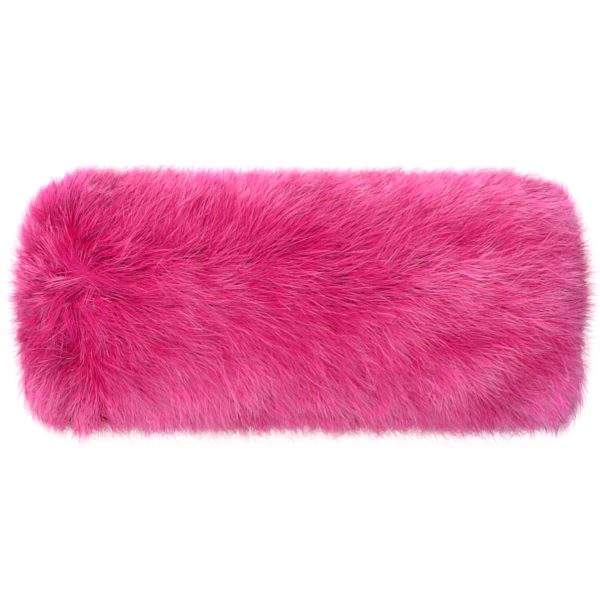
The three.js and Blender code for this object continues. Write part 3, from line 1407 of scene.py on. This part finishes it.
@dataclass
class Roots:
    """The part of a tree that plants the hairs and says how each of them grows."""

    make: Maker
    strip: Any  # the flat strip
    growth: Growth
    habit: Habit
    at: Value = field(init=False)  # where a hair is rooted on the strip
    lock: Value = field(init=False)
    to_lock: Value = field(init=False)  # the way to the middle of its lock
    off: Value = field(init=False)  # how far that is
    tall: Value = field(init=False)  # how tall the lock is, from -1 to 1
    tuft: Value = field(init=False)
    to_tuft: Value = field(init=False)
    unruly: Value = field(init=False)
    outward: Value = field(init=False)
    spiky: Value = field(init=False)
    fold: Value = field(init=False)

    def __post_init__(self) -> None:
        """Finds what the strip, the locks and the tufts say where each hair is rooted."""
        make = self.make
        self.at = make.position()
        self.lock, self.to_lock = self.gathered(make.input("Lock Spacing"))
        self.tuft, self.to_tuft = self.gathered(make.input("Tuft Spacing"))
        self.off = make.vector("LENGTH", self.to_lock)
        self.tall = make.random(Draw.LOCK_TALL, ident=self.lock)
        self.unruly, self.outward = make.named("unruly"), make.named("outward")
        self.spiky, self.fold = make.named("spiky"), make.named("fold")

    def gathered(self, spacing: Value) -> tuple[Value, Value]:
        """How hairs stand together in locks or in tufts.

        Args:
            spacing: The least distance between the middles of two of them.

        Returns:
            Which one each hair belongs to, and the way from the hair to its middle.
        """
        make = self.make
        locks = make.planted(self.strip, self.habit.most_gathered, self.habit.gathering_seed, spacing)
        mine = make.nearest(locks, self.at)
        return mine, make.of_point(locks, make.position(), mine) - self.at

    def within(self, name: str, draw: Draw) -> Value:
        """A random number within the range that two inputs give."""
        return self.make.random(draw, self.make.input(f"Lowest {name}"), self.make.input(f"Highest {name}"))

    def astray(self, ident: Value, along: Draw, across: Draw) -> Value:
        """A random way on the flat strip, the same for all that have the same ident."""
        return self.make.whole(self.make.random(along, ident=ident), self.make.random(across, ident=ident))

    def swing(self) -> Value:
        """Which way, and how far, each hair's tip lies from above its root.

        Returns:
            The way on the flat strip.
        """
        make, habit, unruly = self.make, self.habit, self.unruly
        turn = make.noise(self.at, habit.wide_turn) + make.noise(self.at, habit.narrow_turn)
        lock_turn = unruly * habit.unruly_lock + make.input("Lock Turn")
        tuft_turn = unruly * habit.unruly_tuft + habit.tuft_turn
        own_turn = unruly * habit.unruly_hair + make.input("Own Turn")
        turn = turn + make.random(Draw.LOCK_TURN, ident=self.lock) * lock_turn
        turn = turn + make.random(Draw.TUFT_TURN, ident=self.tuft) * tuft_turn
        turn = turn + (make.random(Draw.OWN_TURN) + make.random(Draw.OWN_TURN_AGAIN)) * own_turn
        astray = self.astray(self.lock, Draw.LOCK_ALONG, Draw.LOCK_ACROSS) * habit.lock_astray
        astray = astray + self.astray(self.tuft, Draw.TUFT_ALONG, Draw.TUFT_ACROSS) * habit.tuft_astray
        astray = astray * (unruly * habit.unruly_astray + 1.0)
        comb = make.sampled(self.strip, make.named_vector("comb"), self.at + astray)
        reach = self.within("Reach", Draw.REACH)
        return make.turned(comb, turn) * (reach * (self.tall * habit.tall_reach + 1.0))

    def rise(self) -> Value:
        """How high each hair's tip stands.

        Returns:
            The height as a share of the pile's depth.
        """
        make, habit, at, outward, fold = self.make, self.habit, self.at, self.outward, self.fold
        uneven = self.tall * (self.spiky * habit.spiky_tall + habit.tall) + make.noise(at, habit.uneven)
        rise = self.within("Rise", Draw.RISE)
        rise = rise + uneven * (fold * -habit.fold_even + 1.0)
        wisp = make.random(Draw.WISP, 0.0) * make.random(Draw.WISP_AGAIN, 0.0)
        outer = wisp * habit.wisps + make.noise(at, habit.outward_uneven) - habit.outward_lower
        teeth = make.math("ABSOLUTE", make.noise(at, habit.fold_teeth)) * -1.0 + habit.teeth_level
        rise = rise + outward * outer + teeth * fold * habit.teeth_height
        rise = rise + make.noise(at, habit.edge_teeth) * outward * (fold * -1.0 + 1.0)
        slope = outward * habit.outward_slope + self.spiky * habit.spiky_slope + habit.slope
        return make.math("MINIMUM", rise - self.off * slope, habit.highest)

    def shade(self) -> Value:
        """How pale each hair is: its own tone, with the coat's painted light and shade, and painted shade
        where it stands off the middle of its lock.

        Returns:
            A number from 0 to 1.
        """
        make, habit = self.make, self.habit
        own = (make.random(Draw.PALER, 0.0) - make.random(Draw.DARKER, 0.0)) * habit.own_tone
        own = own * (self.outward * habit.outward_tone + 1.0)
        tone = make.named("tone") + make.random(Draw.LOCK_TONE, ident=self.lock) * habit.lock_tone + own
        tone = tone + make.noise(self.at, habit.tone_ripple) - self.off * habit.painted_shade_off_lock + habit.tone
        tone = tone + make.input("Paler")
        lowest, highest = SHADES
        return make.math("MINIMUM", make.math("MAXIMUM", tone * SHADE_OF_TONE, lowest), highest)

    def planted(self) -> Value:
        """The roots with everything that each hair grows by.

        Returns:
            The roots as points with their attributes.
        """
        make, habit, swing = self.make, self.habit, self.swing()
        thick = make.named("share") * make.named(self.growth.where) * make.input("Density")
        bend = make.random(Draw.LOCK_BEND, ident=self.lock) + make.random(Draw.OWN_BEND)
        lock_pull = self.to_lock * (self.spiky * habit.spiky_pull + make.input("Lock Pull"))
        skin, form = make.named_vector("skin"), make.named_vector("form")
        ahead = make.sampled(self.strip, form, self.at + swing * AHEAD)
        girth = make.random(Draw.GIRTH, *GIRTHS) * make.input("Width")
        vectors = {
            "root": self.at,
            "swing": swing,
            "curve": make.turned(swing, math.pi / 2) * (bend * make.input("Bend")),
            "pull": lock_pull + self.to_tuft * habit.tuft_pull,
            "foot": skin,
            "depth": form - skin,
            "lean": (ahead - form) * (1 / AHEAD),
        }
        numbers = {
            "rise": self.rise(),
            "stiff": self.within("Stiffness", Draw.STIFF),
            "girth": girth * (self.outward * habit.outward_girth + 1.0),
            "shade": self.shade(),
            # painted shade: whether the hair is darkened, drawn by the share at its place
            "dull": make.math("LESS_THAN", make.random(Draw.DULL, 0.0), make.named("dusk")),
        }
        points = make.planted(self.strip, thick, make.input("Seed", "Int"))
        for kind, notes in (("FLOAT_VECTOR", vectors), ("FLOAT", numbers)):
            for name, value in notes.items():
                points = make.store(points, name, value, kind)
        return points


@dataclass
class Strand:
    """The part of a tree that sets every point of a hair in its place."""

    make: Maker
    strip: Any  # the flat strip
    habit: Habit

    def line(self, along: Value, start: Value) -> tuple[Value, Value]:
        """Where a place along a hair is.

        Args:
            along: How far along the hair the place is.
            start: How far up the pile the hair starts.

        Returns:
            The place, and the way out of the pile there.
        """
        make, vector = self.make, self.make.named_vector
        late = along * along
        swung = along * self.habit.early + late * (1 - self.habit.early)
        aside = vector("curve") * (late - along) + vector("pull") * late
        flat = vector("root") + vector("swing") * swung + aside
        skin, form = (make.sampled(self.strip, vector(name), flat) for name in ("skin", "form"))
        left = along * -1.0 + 1.0
        height = (make.named("rise") - start) * (left * left * -1.0 + 1.0) + start
        follow = skin + (form - skin) * height
        straight = vector("foot") + vector("depth") * height + vector("lean") * swung
        return make.mix(make.named("stiff") * along, follow, straight), form - skin

    def place(self) -> Value:
        """Where each point of a hair is, in the model's frame and clear of the table.

        Returns:
            The place.
        """
        make, habit, along, start = self.make, self.habit, self.make.named("along"), self.make.input("Start")
        aside, above, _ = make.parts(make.named_vector("around"))
        here, out = self.line(along, start)
        ahead, _ = self.line(along + habit.step, start)
        forward = make.vector("NORMALIZE", ahead - here)
        side = make.vector("NORMALIZE", make.vector("CROSS_PRODUCT", forward, out))
        up = make.vector("CROSS_PRODUCT", side, forward)
        x, y, z = make.parts(here + (side * aside + up * above * habit.flatness) * make.named("girth"))
        lowest = along * habit.tip_over_table + above * habit.side_over_table + habit.over_table
        return make.whole(x, y, make.math("MAXIMUM", z, lowest))

    def map_place(self) -> Value:
        """Where each point of a hair is on the hairs' map.

        Returns:
            The place.
        """
        make = self.make
        aside, _, _ = make.parts(make.named_vector("around"))
        # hairs in painted shade lie on the map's second half
        start = make.named("dull") * MAP_HALF + MAP_MARGIN
        along = make.named("along") * (MAP_HALF - 2 * MAP_MARGIN) + start
        return make.whole(along, make.named("shade") + aside * MAP_WIDTH)


@dataclass
class Hairs:
    """All the hairs of one sort, in batches, grown from the flat strip and set on the ring."""

    growth: Growth
    habit: Habit = Habit()
    roots: bpy.types.Object | None = None  # hairs planted beforehand, one at each of its points
    sides: int = 3

    def spindle(self) -> bpy.types.Object:
        """One hair standing by itself: a ring at its thickest place, and a point or a flat end at its root.

        Returns:
            The hair, which is only copied and isn't shown itself.
        """
        sides, thickest = self.sides, self.growth.thickest
        first = 1 if thickest > 0 else 0
        end = (0.0, 0.0, 0.0)
        angles = [math.tau * (i + 0.25) / sides for i in range(sides)]
        around = [end] * first + [(math.cos(a), math.sin(a), 0.0) for a in angles] + [end]
        along = [0.0] * first + [thickest] * sides + [1.0]
        faces: list[tuple[int, ...]] = [] if first else [tuple(range(sides))[::-1]]
        for i in range(sides):
            j = (i + 1) % sides
            if first:
                faces.append((0, 1 + j, 1 + i))
            faces.append((first + i, first + j, first + sides))
        mesh = bpy.data.meshes.new("one_hair")
        mesh.from_pydata([(x, y, z) for z, (x, y, _) in zip(along, around, strict=True)], [], faces)
        hold(mesh, "along", along)
        hold(mesh, "around", around)
        return bpy.data.objects.new("one_hair", mesh)

    def tree(self) -> Maker:
        """The tree that plants, combs and thickens the hairs.

        Returns:
            The tree's maker, which knows its inputs.
        """
        make = Maker("pile")
        strip = make.source.outputs["Geometry"]
        if self.roots is None:
            points = Roots(make, strip, self.growth, self.habit).planted()
        else:
            roots = make.node("GeometryNodeObjectInfo", {"Object": make.input("Roots", "Object")})
            points = roots.outputs["Geometry"]
        strand = Strand(make, strip, self.habit)
        shape = make.node("GeometryNodeObjectInfo", {"Object": make.input("Hair", "Object")})
        inputs = {"Points": points, "Instance": shape.outputs["Geometry"]}
        copies = make.node("GeometryNodeInstanceOnPoints", inputs)
        real = make.node("GeometryNodeRealizeInstances", {0: copies.outputs[0]})
        inputs = {"Geometry": real.outputs[0], "Position": strand.place()}
        placed = make.node("GeometryNodeSetPosition", inputs)
        mapped = make.store(placed.outputs[0], HAIR_MAP, strand.map_place(), "FLOAT2", "CORNER")
        inputs = {"Geometry": mapped, "Material": make.input("Material", "Material")}
        make.finish(Value(make, make.node("GeometryNodeSetMaterial", inputs).outputs[0]))
        return make

    def settings(self, hair: bpy.types.Object, finish: bpy.types.Material, area: float) -> dict[str, Any]:
        """What the tree's inputs are set to, apart from the seed.

        Args:
            hair: One hair standing by itself.
            finish: The hairs' material.
            area: The strip's area, counted with how thickly it is planted.

        Returns:
            The settings by the inputs' names.
        """
        growth, habit = self.growth, self.habit
        settings = {
            "Hair": hair,
            "Material": finish,
            "Roots": self.roots,
            "Density": growth.count / area,
            "Lock Spacing": habit.lock_spacing,
            "Tuft Spacing": habit.tuft_spacing,
        }
        for name in ("width", "start", "lock_pull", "lock_turn", "own_turn", "bend", "paler"):
            settings[name.replace("_", " ").title()] = getattr(growth, name)
        for name, ends in (("Rise", growth.rise), ("Reach", growth.reach), ("Stiffness", growth.stiff)):
            settings[f"Lowest {name}"], settings[f"Highest {name}"] = ends
        return settings

    def grown(self, strip: bpy.types.Mesh, finish: bpy.types.Material, area: float) -> list[bpy.types.Object]:
        """Grows every batch and makes each a plain mesh.

        Args:
            strip: The flat strip, with how thickly it is planted.
            finish: The hairs' material.
            area: The strip's area, counted with how thickly it is planted.

        Returns:
            The batches.
        """
        hair, make = self.spindle(), self.tree()
        settings = self.settings(hair, finish, area)
        batches = []
        for batch in range(self.growth.batches):
            carrier = bpy.data.objects.new("carrier", strip)
            bpy.context.scene.collection.objects.link(carrier)
            modifier = carrier.modifiers.new("pile", "NODES")
            modifier.node_group = make.tree
            settings["Seed"] = self.growth.seed + batch
            for name, identifier in make.ids.items():
                modifier[identifier] = settings[name]
            seen = carrier.evaluated_get(bpy.context.evaluated_depsgraph_get())
            mesh = bpy.data.meshes.new_from_object(seen)
            carrier.modifiers.remove(modifier)
            bpy.data.objects.remove(carrier)
            mesh.name = f"{self.growth.sort.value}_{batch + 1}"
            for label in HAIR_NOTES:
                if label in mesh.attributes:
                    mesh.attributes.remove(mesh.attributes[label])
            mesh.shade_flat()
            batches.append(shown(mesh))
        bpy.data.objects.remove(hair)
        return batches


# ------------------------------------------------------------------ finishes


@dataclass(frozen=True)
class Finish:
    """A finish, from which a material is made."""

    name: str
    roughness: float
    sheen: float
    sheen_roughness: float
    sheen_tint: Colour
    specular: float = 0.3

    def started(self) -> tuple[bpy.types.Material, bpy.types.Node]:
        """A material with its shader's own constants set.

        Returns:
            The material and its shader.
        """
        material = bpy.data.materials.new(self.name)
        material.use_nodes = True
        shader = material.node_tree.nodes["Principled BSDF"]
        shader.inputs["Roughness"].default_value = self.roughness
        shader.inputs["Specular IOR Level"].default_value = self.specular
        shader.inputs["Sheen Weight"].default_value = self.sheen
        shader.inputs["Sheen Roughness"].default_value = self.sheen_roughness
        shader.inputs["Sheen Tint"].default_value = (*self.sheen_tint, 1)
        return material, shader


def worked_out(operation: str, first: bpy.types.NodeSocket, second: Any = 0.0) -> bpy.types.NodeSocket:
    """A number worked out from one or two others in a material.

    Args:
        operation: What is done, by the node's own word for it.
        first: The first number.
        second: The second number, or the socket that gives it.

    Returns:
        The outcome.
    """
    node = first.id_data.nodes.new("ShaderNodeMath")
    node.operation = operation
    feed(node.inputs[0], first)
    feed(node.inputs[1], second)
    return node.outputs[0]


def ramp(at: bpy.types.NodeSocket, stops: Stops) -> bpy.types.NodeSocket:
    """A ramp of colours.

    Args:
        at: What the ramp is read with.
        stops: Each stop's place and its colour as three linear numbers.

    Returns:
        The colour.
    """
    node = at.id_data.nodes.new("ShaderNodeValToRGB")
    node.color_ramp.interpolation = "EASE"
    elements = node.color_ramp.elements
    while len(elements) < len(stops):
        elements.new(0.5)
    for element, (place, colour) in zip(elements, stops, strict=True):
        element.position = place
        element.color = (*colour, 1)
    feed(node.inputs["Fac"], at)
    return node.outputs["Color"]


def mixed(blend: str, share: bpy.types.NodeSocket, first: bpy.types.NodeSocket,
          second: Any) -> bpy.types.NodeSocket:
    """Two colours mixed in a material.

    Args:
        blend: How they are mixed, by the node's own word for it.
        share: How much the second counts.
        first: The first colour.
        second: The second colour with its alpha, or the socket that gives it.

    Returns:
        The colour.
    """
    node = share.id_data.nodes.new("ShaderNodeMix")
    node.data_type, node.blend_type = "RGBA", blend
    colours = [socket for socket in node.inputs if socket.type == "RGBA"]
    feed(node.inputs["Factor"], share)
    feed(colours[0], first)
    feed(colours[1], second)
    return next(socket for socket in node.outputs if socket.type == "RGBA")


def raised(shader: bpy.types.Node, height: bpy.types.NodeSocket, distance: float) -> None:
    """Gives a shader a fine relief.

    Args:
        shader: The shader.
        height: How high the relief stands, from 0 to 1.
        distance: How high 1 is.
    """
    bump = shader.id_data.nodes.new("ShaderNodeBump")
    feed(bump.inputs["Distance"], distance)
    feed(bump.inputs["Height"], height)
    feed(shader.inputs["Normal"], bump.outputs[0])


@dataclass(frozen=True)
class HairFinish(Finish):
    """The hairs' pink, dark at the root, which is partly painted shade of the pile's depth, and pale at the
    tip, which is partly painted light through the thin tips, in two tones that each hair lies between.
    """

    # painted shade at the roots, and partly painted light at the tips
    deep: Stops = ((0.1, (0.42, 0.0, 0.035)), (0.55, (0.56, 0.002, 0.092)), (0.92, (0.69, 0.011, 0.195)))
    pale: Stops = ((0.1, (0.6, 0.0, 0.088)), (0.55, (0.9, 0.122, 0.45)), (0.9, (0.94, 0.5, 0.76)))
    dull: Colour = (0.87, 0.98, 0.98)  # painted shade: what the colour of a hair in painted shade is multiplied by

    def material(self) -> bpy.types.Material:
        """The material of the hairs, which is read off their map.

        Returns:
            The material.
        """
        material, shader = self.started()
        nodes = material.node_tree.nodes
        uv = nodes.new("ShaderNodeUVMap")
        uv.uv_map = HAIR_MAP
        parts = nodes.new("ShaderNodeSeparateXYZ")
        feed(parts.inputs[0], uv.outputs["UV"])
        across, tone = parts.outputs["X"], parts.outputs["Y"]
        along = worked_out("FRACT", worked_out("MULTIPLY", across, 1 / MAP_HALF))
        colour = mixed("MIX", tone, ramp(along, self.deep), ramp(along, self.pale))
        # painted shade: hairs on the map's second half are darkened
        colour = mixed("MULTIPLY", worked_out("GREATER_THAN", across, MAP_HALF), colour, (*self.dull, 1))
        feed(shader.inputs["Base Color"], colour)
        return material


@dataclass(frozen=True)
class PlushFinish(Finish):
    """The dense short fibres between the hairs: the same pink, made deeper as painted shade of the pile's
    depth, in fine tufts.
    """

    # painted shade: deeper than the hairs, for the depth of the pile
    stops: Stops = ((0.3, (0.3, 0.0, 0.035)), (0.7, (0.45, 0.002, 0.07)))
    tufts: float = 900.0  # in a metre
    relief: float = 0.6 * MM

    def material(self) -> bpy.types.Material:
        """The material of the short fibres.

        Returns:
            The material.
        """
        material, shader = self.started()
        nodes = material.node_tree.nodes
        where, noise = nodes.new("ShaderNodeTexCoord"), nodes.new("ShaderNodeTexNoise")
        feed(noise.inputs["Scale"], self.tufts)
        feed(noise.inputs["Vector"], where.outputs["Object"])
        feed(shader.inputs["Base Color"], ramp(noise.outputs[0], self.stops))
        raised(shader, noise.outputs[0], self.relief)
        return material


@dataclass(frozen=True)
class KnitFinish(Finish):
    """The backing's knitted face: fine ribs of stitches, with a soft bloom."""

    stops: Stops = ((0.0, (0.28, 0.004, 0.06)), (0.8, (0.55, 0.02, 0.16)))
    stitch: float = 1.3 * MM
    row: float = 0.7  # how far apart the rows of stitches are against the ribs, as a share
    wobble: float = 0.6
    wobble_fineness: float = 2.0
    relief: float = 0.3 * MM

    def material(self) -> bpy.types.Material:
        """The material of the knitted cloth.

        Returns:
            The material.
        """
        material, shader = self.started()
        nodes = material.node_tree.nodes
        uv = nodes.new("ShaderNodeUVMap")
        uv.uv_map = CLOTH_MAP
        waves = []
        for direction, closeness in (("X", 1.0), ("Y", self.row)):
            wave = nodes.new("ShaderNodeTexWave")
            wave.bands_direction = direction
            feed(wave.inputs["Scale"], closeness / self.stitch / WAVE_TURN * math.pi)
            feed(wave.inputs["Distortion"], self.wobble)
            feed(wave.inputs["Detail Scale"], self.wobble_fineness)
            feed(wave.inputs["Vector"], uv.outputs["UV"])
            waves.append(wave.outputs["Fac"])
        stitches = worked_out("MULTIPLY", *waves)
        feed(shader.inputs["Base Color"], ramp(stitches, self.stops))
        raised(shader, stitches, self.relief)
        return material


# ------------------------------------------------------------------ the pieces


def ring_mesh(name: str, loops: np.ndarray) -> bpy.types.Mesh:
    """A closed ring: closed loops of points, each joined to the next and the last to the first.

    Args:
        name: The mesh's name.
        loops: The points, as stations by places round each loop by three.

    Returns:
        The mesh, with a map that runs along the ring and round it in metres.
    """
    stations, count = loops.shape[:2]
    index = np.arange(stations * count).reshape(stations, count)
    ahead, beside = np.roll(index, -1, 0), np.roll(index, -1, 1)
    both = np.roll(ahead, -1, 1)
    faces = np.stack([index, beside, both, ahead], 2).reshape(-1, 4)
    mesh = bpy.data.meshes.new(name)
    mesh.from_pydata(loops.reshape(-1, 3).tolist(), [], faces.tolist())
    step_u = np.linalg.norm(np.roll(loops, -1, 0) - loops, axis=2).mean(1)
    step_v = np.linalg.norm(np.roll(loops, -1, 1) - loops, axis=2).mean(0)
    u, v = (np.concatenate([[0], np.cumsum(steps)]) for steps in (step_u, step_v))
    i, j = np.repeat(np.arange(stations), count), np.tile(np.arange(count), stations)
    corners = [np.stack([u[i + a], v[j + b]], 1) for a, b in ((0, 0), (0, 1), (1, 1), (1, 0))]
    layer = mesh.uv_layers.new(name=CLOTH_MAP)
    layer.data.foreach_set("uv", np.stack(corners, 1).astype(np.float32).ravel())
    mesh.shade_smooth()
    return mesh


@dataclass
class Undercoat:
    """The dense short fibres that fill the space between the hairs."""

    coat: Coat
    level: float = 0.5  # how far up the pile they stand
    foot: float = 0.03  # how far up the pile their inner face is
    finish: PlushFinish = PlushFinish(
        name="undercoat_plush", roughness=0.95, sheen=0.0, sheen_roughness=0.6, sheen_tint=(0.9, 0.3, 0.6),
        specular=0.0,
    )

    def build(self) -> bpy.types.Object:
        """The undercoat as one closed ring.

        Returns:
            The finished piece.
        """
        skin, form = self.coat.skin[:-1], self.coat.form[:-1]
        outer = skin + (form - skin) * self.level
        inner = skin + (form - skin) * self.foot
        loops = np.concatenate([outer, inner[:, ::-2]], 1)
        made = shown(ring_mesh("undercoat", loops), self.finish.material())
        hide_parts("fur_pile")
        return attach(made, "root")


@dataclass
class Backing:
    """The knitted cloth that the pile is anchored in."""

    ring: Ring
    rows: int = 14
    layer_steps: int = 90
    fold_steps: int = 20
    finish: KnitFinish = KnitFinish(
        name="backing_knit", roughness=0.85, sheen=0.25, sheen_roughness=0.5, sheen_tint=(0.9, 0.4, 0.65)
    )

    def build(self) -> bpy.types.Object:
        """The cloth as one closed ring with two faces and two cut edges.

        Returns:
            The finished piece.
        """
        ring = self.ring
        at = ring.stations(0, self.layer_steps, self.fold_steps)
        across = np.linspace(-1, 1, self.rows + 1)
        lower, upper = (ring.drawn_in(at.x, edge)[:, None] for edge in (-1, 1))
        y = (ring.half_height - np.where(across < 0, lower, upper)) * across
        faces = []
        for side in (ring.thickness / 2, -ring.thickness / 2):
            x, z = (at.x + side * at.nx)[:, None], (at.z + side * at.nz)[:, None]
            faces.append(np.stack([x + 0 * y, y, z + 0 * y], 2))
        loops = np.concatenate([faces[0], faces[1][:, ::-1]], 1)[:-1]
        made = shown(ring_mesh("backing_cloth", loops), self.finish.material())
        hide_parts("backing_band")
        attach(made, "root")
        return made


@dataclass
class Fur:
    """The long hairs of the coat."""

    coat: Coat
    guard: Growth = Growth(
        Sort.GUARD, batches=5, count=24500, width=0.13 * MM, start=0.5, rise=(0.8, 1.05), reach=(0.75, 1.3),
        stiff=(0.05, 0.55), lock_pull=0.4, lock_turn=0.38, own_turn=0.28, bend=0.32, paler=0.0, seed=20,
    )
    down: Growth = Growth(
        Sort.DOWN, batches=2, count=14000, width=0.25 * MM, start=0.45, rise=(0.66, 0.86), reach=(0.5, 1.0),
        stiff=(0.0, 0.4), lock_pull=0.3, lock_turn=0.25, own_turn=0.2, bend=0.0, paler=-0.12, seed=60,
        thickest=0.0,
    )
    stray: Growth = Growth(
        Sort.STRAY, batches=1, count=5000, width=0.09 * MM, start=0.7, rise=(0.95, 1.18), reach=(0.8, 1.6),
        stiff=(0.4, 1.0), lock_pull=0.0, lock_turn=0.2, own_turn=0.25, bend=0.25, paler=0.1, seed=90,
    )
    wisp: Growth = Growth(
        Sort.WISP, batches=1, count=7500, width=0.06 * MM, start=0.75, rise=(1.0, 1.75), reach=(0.6, 1.3),
        stiff=(0.5, 1.0), lock_pull=0.3, lock_turn=0.2, own_turn=0.2, bend=0.2, paler=0.25, seed=120,
        thickest=0.3, where="wispy",
    )
    tuft: Growth = Growth(
        Sort.TUFT, batches=1, count=0, width=0.13 * MM, start=0.5, rise=(0.84, 1.12), reach=(0.7, 1.2),
        stiff=(0.0, 0.35), lock_pull=0.4, lock_turn=0.0, own_turn=0.0, bend=0.3, paler=0.0, seed=150,
    )
    tuft_back: float = 0.35  # how far its roots are spread along a tuft, as a share of its length
    tuft_tone: float = 0.3
    tuft_sides: float = 0.06  # how much lower the hairs at its sides stand
    tuft_gather: float = 2  # how much more the tips of a lifted tuft are drawn together
    finish: HairFinish = HairFinish(
        name="pink_hair", roughness=0.6, sheen=0.0, sheen_roughness=0.5, sheen_tint=(1.0, 0.7, 0.85),
        specular=0.0,
    )

    def tuft_notes(self, tuft: Tuft, draw: np.random.Generator) -> dict[str, np.ndarray]:
        """Everything that each hair of a tuft grows by.

        Args:
            tuft: The tuft.
            draw: What its random numbers are drawn from.

        Returns:
            Rows of numbers, one for each hair, by name.
        """
        coat, growth, column = self.coat, self.tuft, (tuft.hairs, 1)
        start, tip = (coat.flat_place(np.array([place]) * MM) for place in (tuft.start, tuft.tip))
        way = tip - start
        aside = np.array([[-way[0, 1], way[0, 0]]])
        length = np.linalg.norm(way)
        across = draw.normal(0, 1, column) * tuft.wide * MM / length
        root = start + across * aside + draw.uniform(-self.tuft_back, self.tuft_back, column) * way
        swing = way * draw.uniform(*growth.reach, column)
        curl = -tuft.curl + draw.uniform(-1, 1, column) * growth.bend
        pull = -across * aside * (growth.lock_pull + self.tuft_gather * tuft.lift)
        skin, form = coat.read(coat.skin, root), coat.read(coat.form, root)
        ahead = coat.read(coat.form, root + AHEAD * swing)
        shade = coat.read(coat.tone()[..., None], root) + tuft.paler
        shade = shade + draw.uniform(-self.tuft_tone, self.tuft_tone, column)
        rise = draw.uniform(*growth.rise, column) + tuft.lift
        rise = rise - self.tuft_sides * np.abs(across) * length / tuft.wide / MM
        flat = np.zeros(column)
        return {
            "root": np.hstack([root, flat]),
            "swing": np.hstack([swing, flat]),
            "curve": np.hstack([aside * curl, flat]),
            "pull": np.hstack([pull, flat]),
            "foot": skin,
            "depth": form - skin,
            "lean": (ahead - form) / AHEAD,
            "rise": rise,
            "stiff": draw.uniform(*growth.stiff, column),
            "girth": draw.uniform(*GIRTHS, column) * growth.width,
            "shade": np.clip(shade * SHADE_OF_TONE, *SHADES),
            # painted shade: whether the hair is darkened, drawn by the share at its root
            "dull": draw.uniform(0, 1, column) < coat.read(coat.dusk()[..., None], root),
        }

    def planted_tufts(self) -> bpy.types.Object:
        """The roots of all the tufts' hairs.

        Returns:
            The roots as loose points with what each hair grows by, which aren't shown.
        """
        draw = np.random.default_rng(self.tuft.seed)
        tufts = [self.tuft_notes(tuft, draw) for tuft in TUFTS]
        notes = {name: np.concatenate([tuft[name] for tuft in tufts]) for name in tufts[0]}
        mesh = bpy.data.meshes.new("tuft_roots")
        mesh.from_pydata(notes["root"].tolist(), [], [])
        for name, values in notes.items():
            hold(mesh, name, values)
        return bpy.data.objects.new("tuft_roots", mesh)

    def build(self) -> list[bpy.types.Object]:
        """Every batch of hairs.

        Returns:
            The finished pieces.
        """
        coat = self.coat
        notes = coat.notes()
        strip = coat.mesh("strip", notes)
        cells = np.diff(coat.u)[:, None] * np.diff(coat.v)[None, :]
        material = self.finish.material()
        made = []
        for growth in (self.guard, self.down, self.stray, self.wisp):
            thick = notes["share"] * notes[growth.where]
            mean = (thick[:-1, :-1] + thick[1:, :-1] + thick[:-1, 1:] + thick[1:, 1:]) / 4
            made += Hairs(growth).grown(strip, material, float((cells * mean).sum()))
        roots = self.planted_tufts()
        made += Hairs(self.tuft, roots=roots).grown(strip, material, 1.0)
        bpy.data.objects.remove(roots)
        for batch in made:
            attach(batch, "root")
        return made


# ------------------------------------------------------------------ the studio


@dataclass
class Studio:
    """The floor, the lights and the camera."""

    floor_reach: float = 4.0
    floor_grey: float = 0.12
    floor_glow: float = 0.93
    floor_roughness: float = 0.9
    floor_specular: float = 0.1
    room_light: float = 0.63
    lamp_size: float = 0.65
    lamp_power: float = 28.6
    lamp_place: tuple[float, float, float] = (-0.27, 0.68, 1.22)
    lens: float = 85.0
    sensor: float = 36.0
    wide: float = 294.6 * MM  # how much of the table the view takes in at the band's own height
    aim: tuple[float, float] = (-0.5 * MM, 0.7 * MM)
    diffuse_bounces: int = 12

    def floor(self) -> bpy.types.Object:
        """A plain pale floor.

        Returns:
            The floor.
        """
        far = self.floor_reach
        mesh = bpy.data.meshes.new("floor")
        mesh.from_pydata([(-far, -far, 0), (far, -far, 0), (far, far, 0), (-far, far, 0)], [], [(0, 1, 2, 3)])
        material = bpy.data.materials.new("floor_white")
        material.use_nodes = True
        shader = material.node_tree.nodes["Principled BSDF"]
        shader.inputs["Base Color"].default_value = (*[self.floor_grey] * 3, 1)
        shader.inputs["Emission Color"].default_value = (1, 1, 1, 1)
        shader.inputs["Emission Strength"].default_value = self.floor_glow
        shader.inputs["Roughness"].default_value = self.floor_roughness
        shader.inputs["Specular IOR Level"].default_value = self.floor_specular
        made = shown(mesh, material)
        return made

    def lights(self) -> None:
        """A white room, and one large soft lamp above the band's upper edge, towards its left end."""
        world = bpy.data.worlds.new("studio")
        world.use_nodes = True
        background = world.node_tree.nodes["Background"]
        background.inputs["Color"].default_value = (1, 1, 1, 1)
        background.inputs["Strength"].default_value = self.room_light
        bpy.context.scene.world = world
        lamp = bpy.data.lights.new("key", "AREA")
        lamp.shape, lamp.size, lamp.energy = "DISK", self.lamp_size, self.lamp_power
        made = bpy.data.objects.new("key", lamp)
        made.location = self.lamp_place
        made.rotation_euler = Vector(self.lamp_place).to_track_quat("Z", "Y").to_euler()
        bpy.context.scene.collection.objects.link(made)

    def camera(self) -> None:
        """A camera straight above the band, with the band's upper edge at the top of the view."""
        data = bpy.data.cameras.new("camera")
        data.lens, data.sensor_width = self.lens, self.sensor
        made = bpy.data.objects.new("camera", data)
        low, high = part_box("backing_band")
        height = (low.z + high.z) / 2 + self.wide * self.lens / self.sensor
        made.location = (*self.aim, height)
        bpy.context.scene.collection.objects.link(made)
        bpy.context.scene.camera = made

    def build(self) -> None:
        """Sets the whole studio up."""
        self.floor()
        self.lights()
        self.camera()
        bpy.context.scene.view_settings.view_transform = "Standard"
        bpy.context.scene.cycles.diffuse_bounces = self.diffuse_bounces


def main() -> None:
    """Builds the headwrap and its studio, and reports each piece."""
    logging.basicConfig(level=logging.INFO, format="%(name)s: %(message)s")
    ring = Ring()
    coat = Coat(ring)
    for piece in (Undercoat(coat).build(), Backing(ring).build(), *Fur(coat).build()):
        triangles = sum(len(face.vertices) - 2 for face in piece.data.polygons)
        LOG.info("%s: %d triangles", piece.name, triangles)
    Studio().build()


if __name__ == "__main__":
    main()
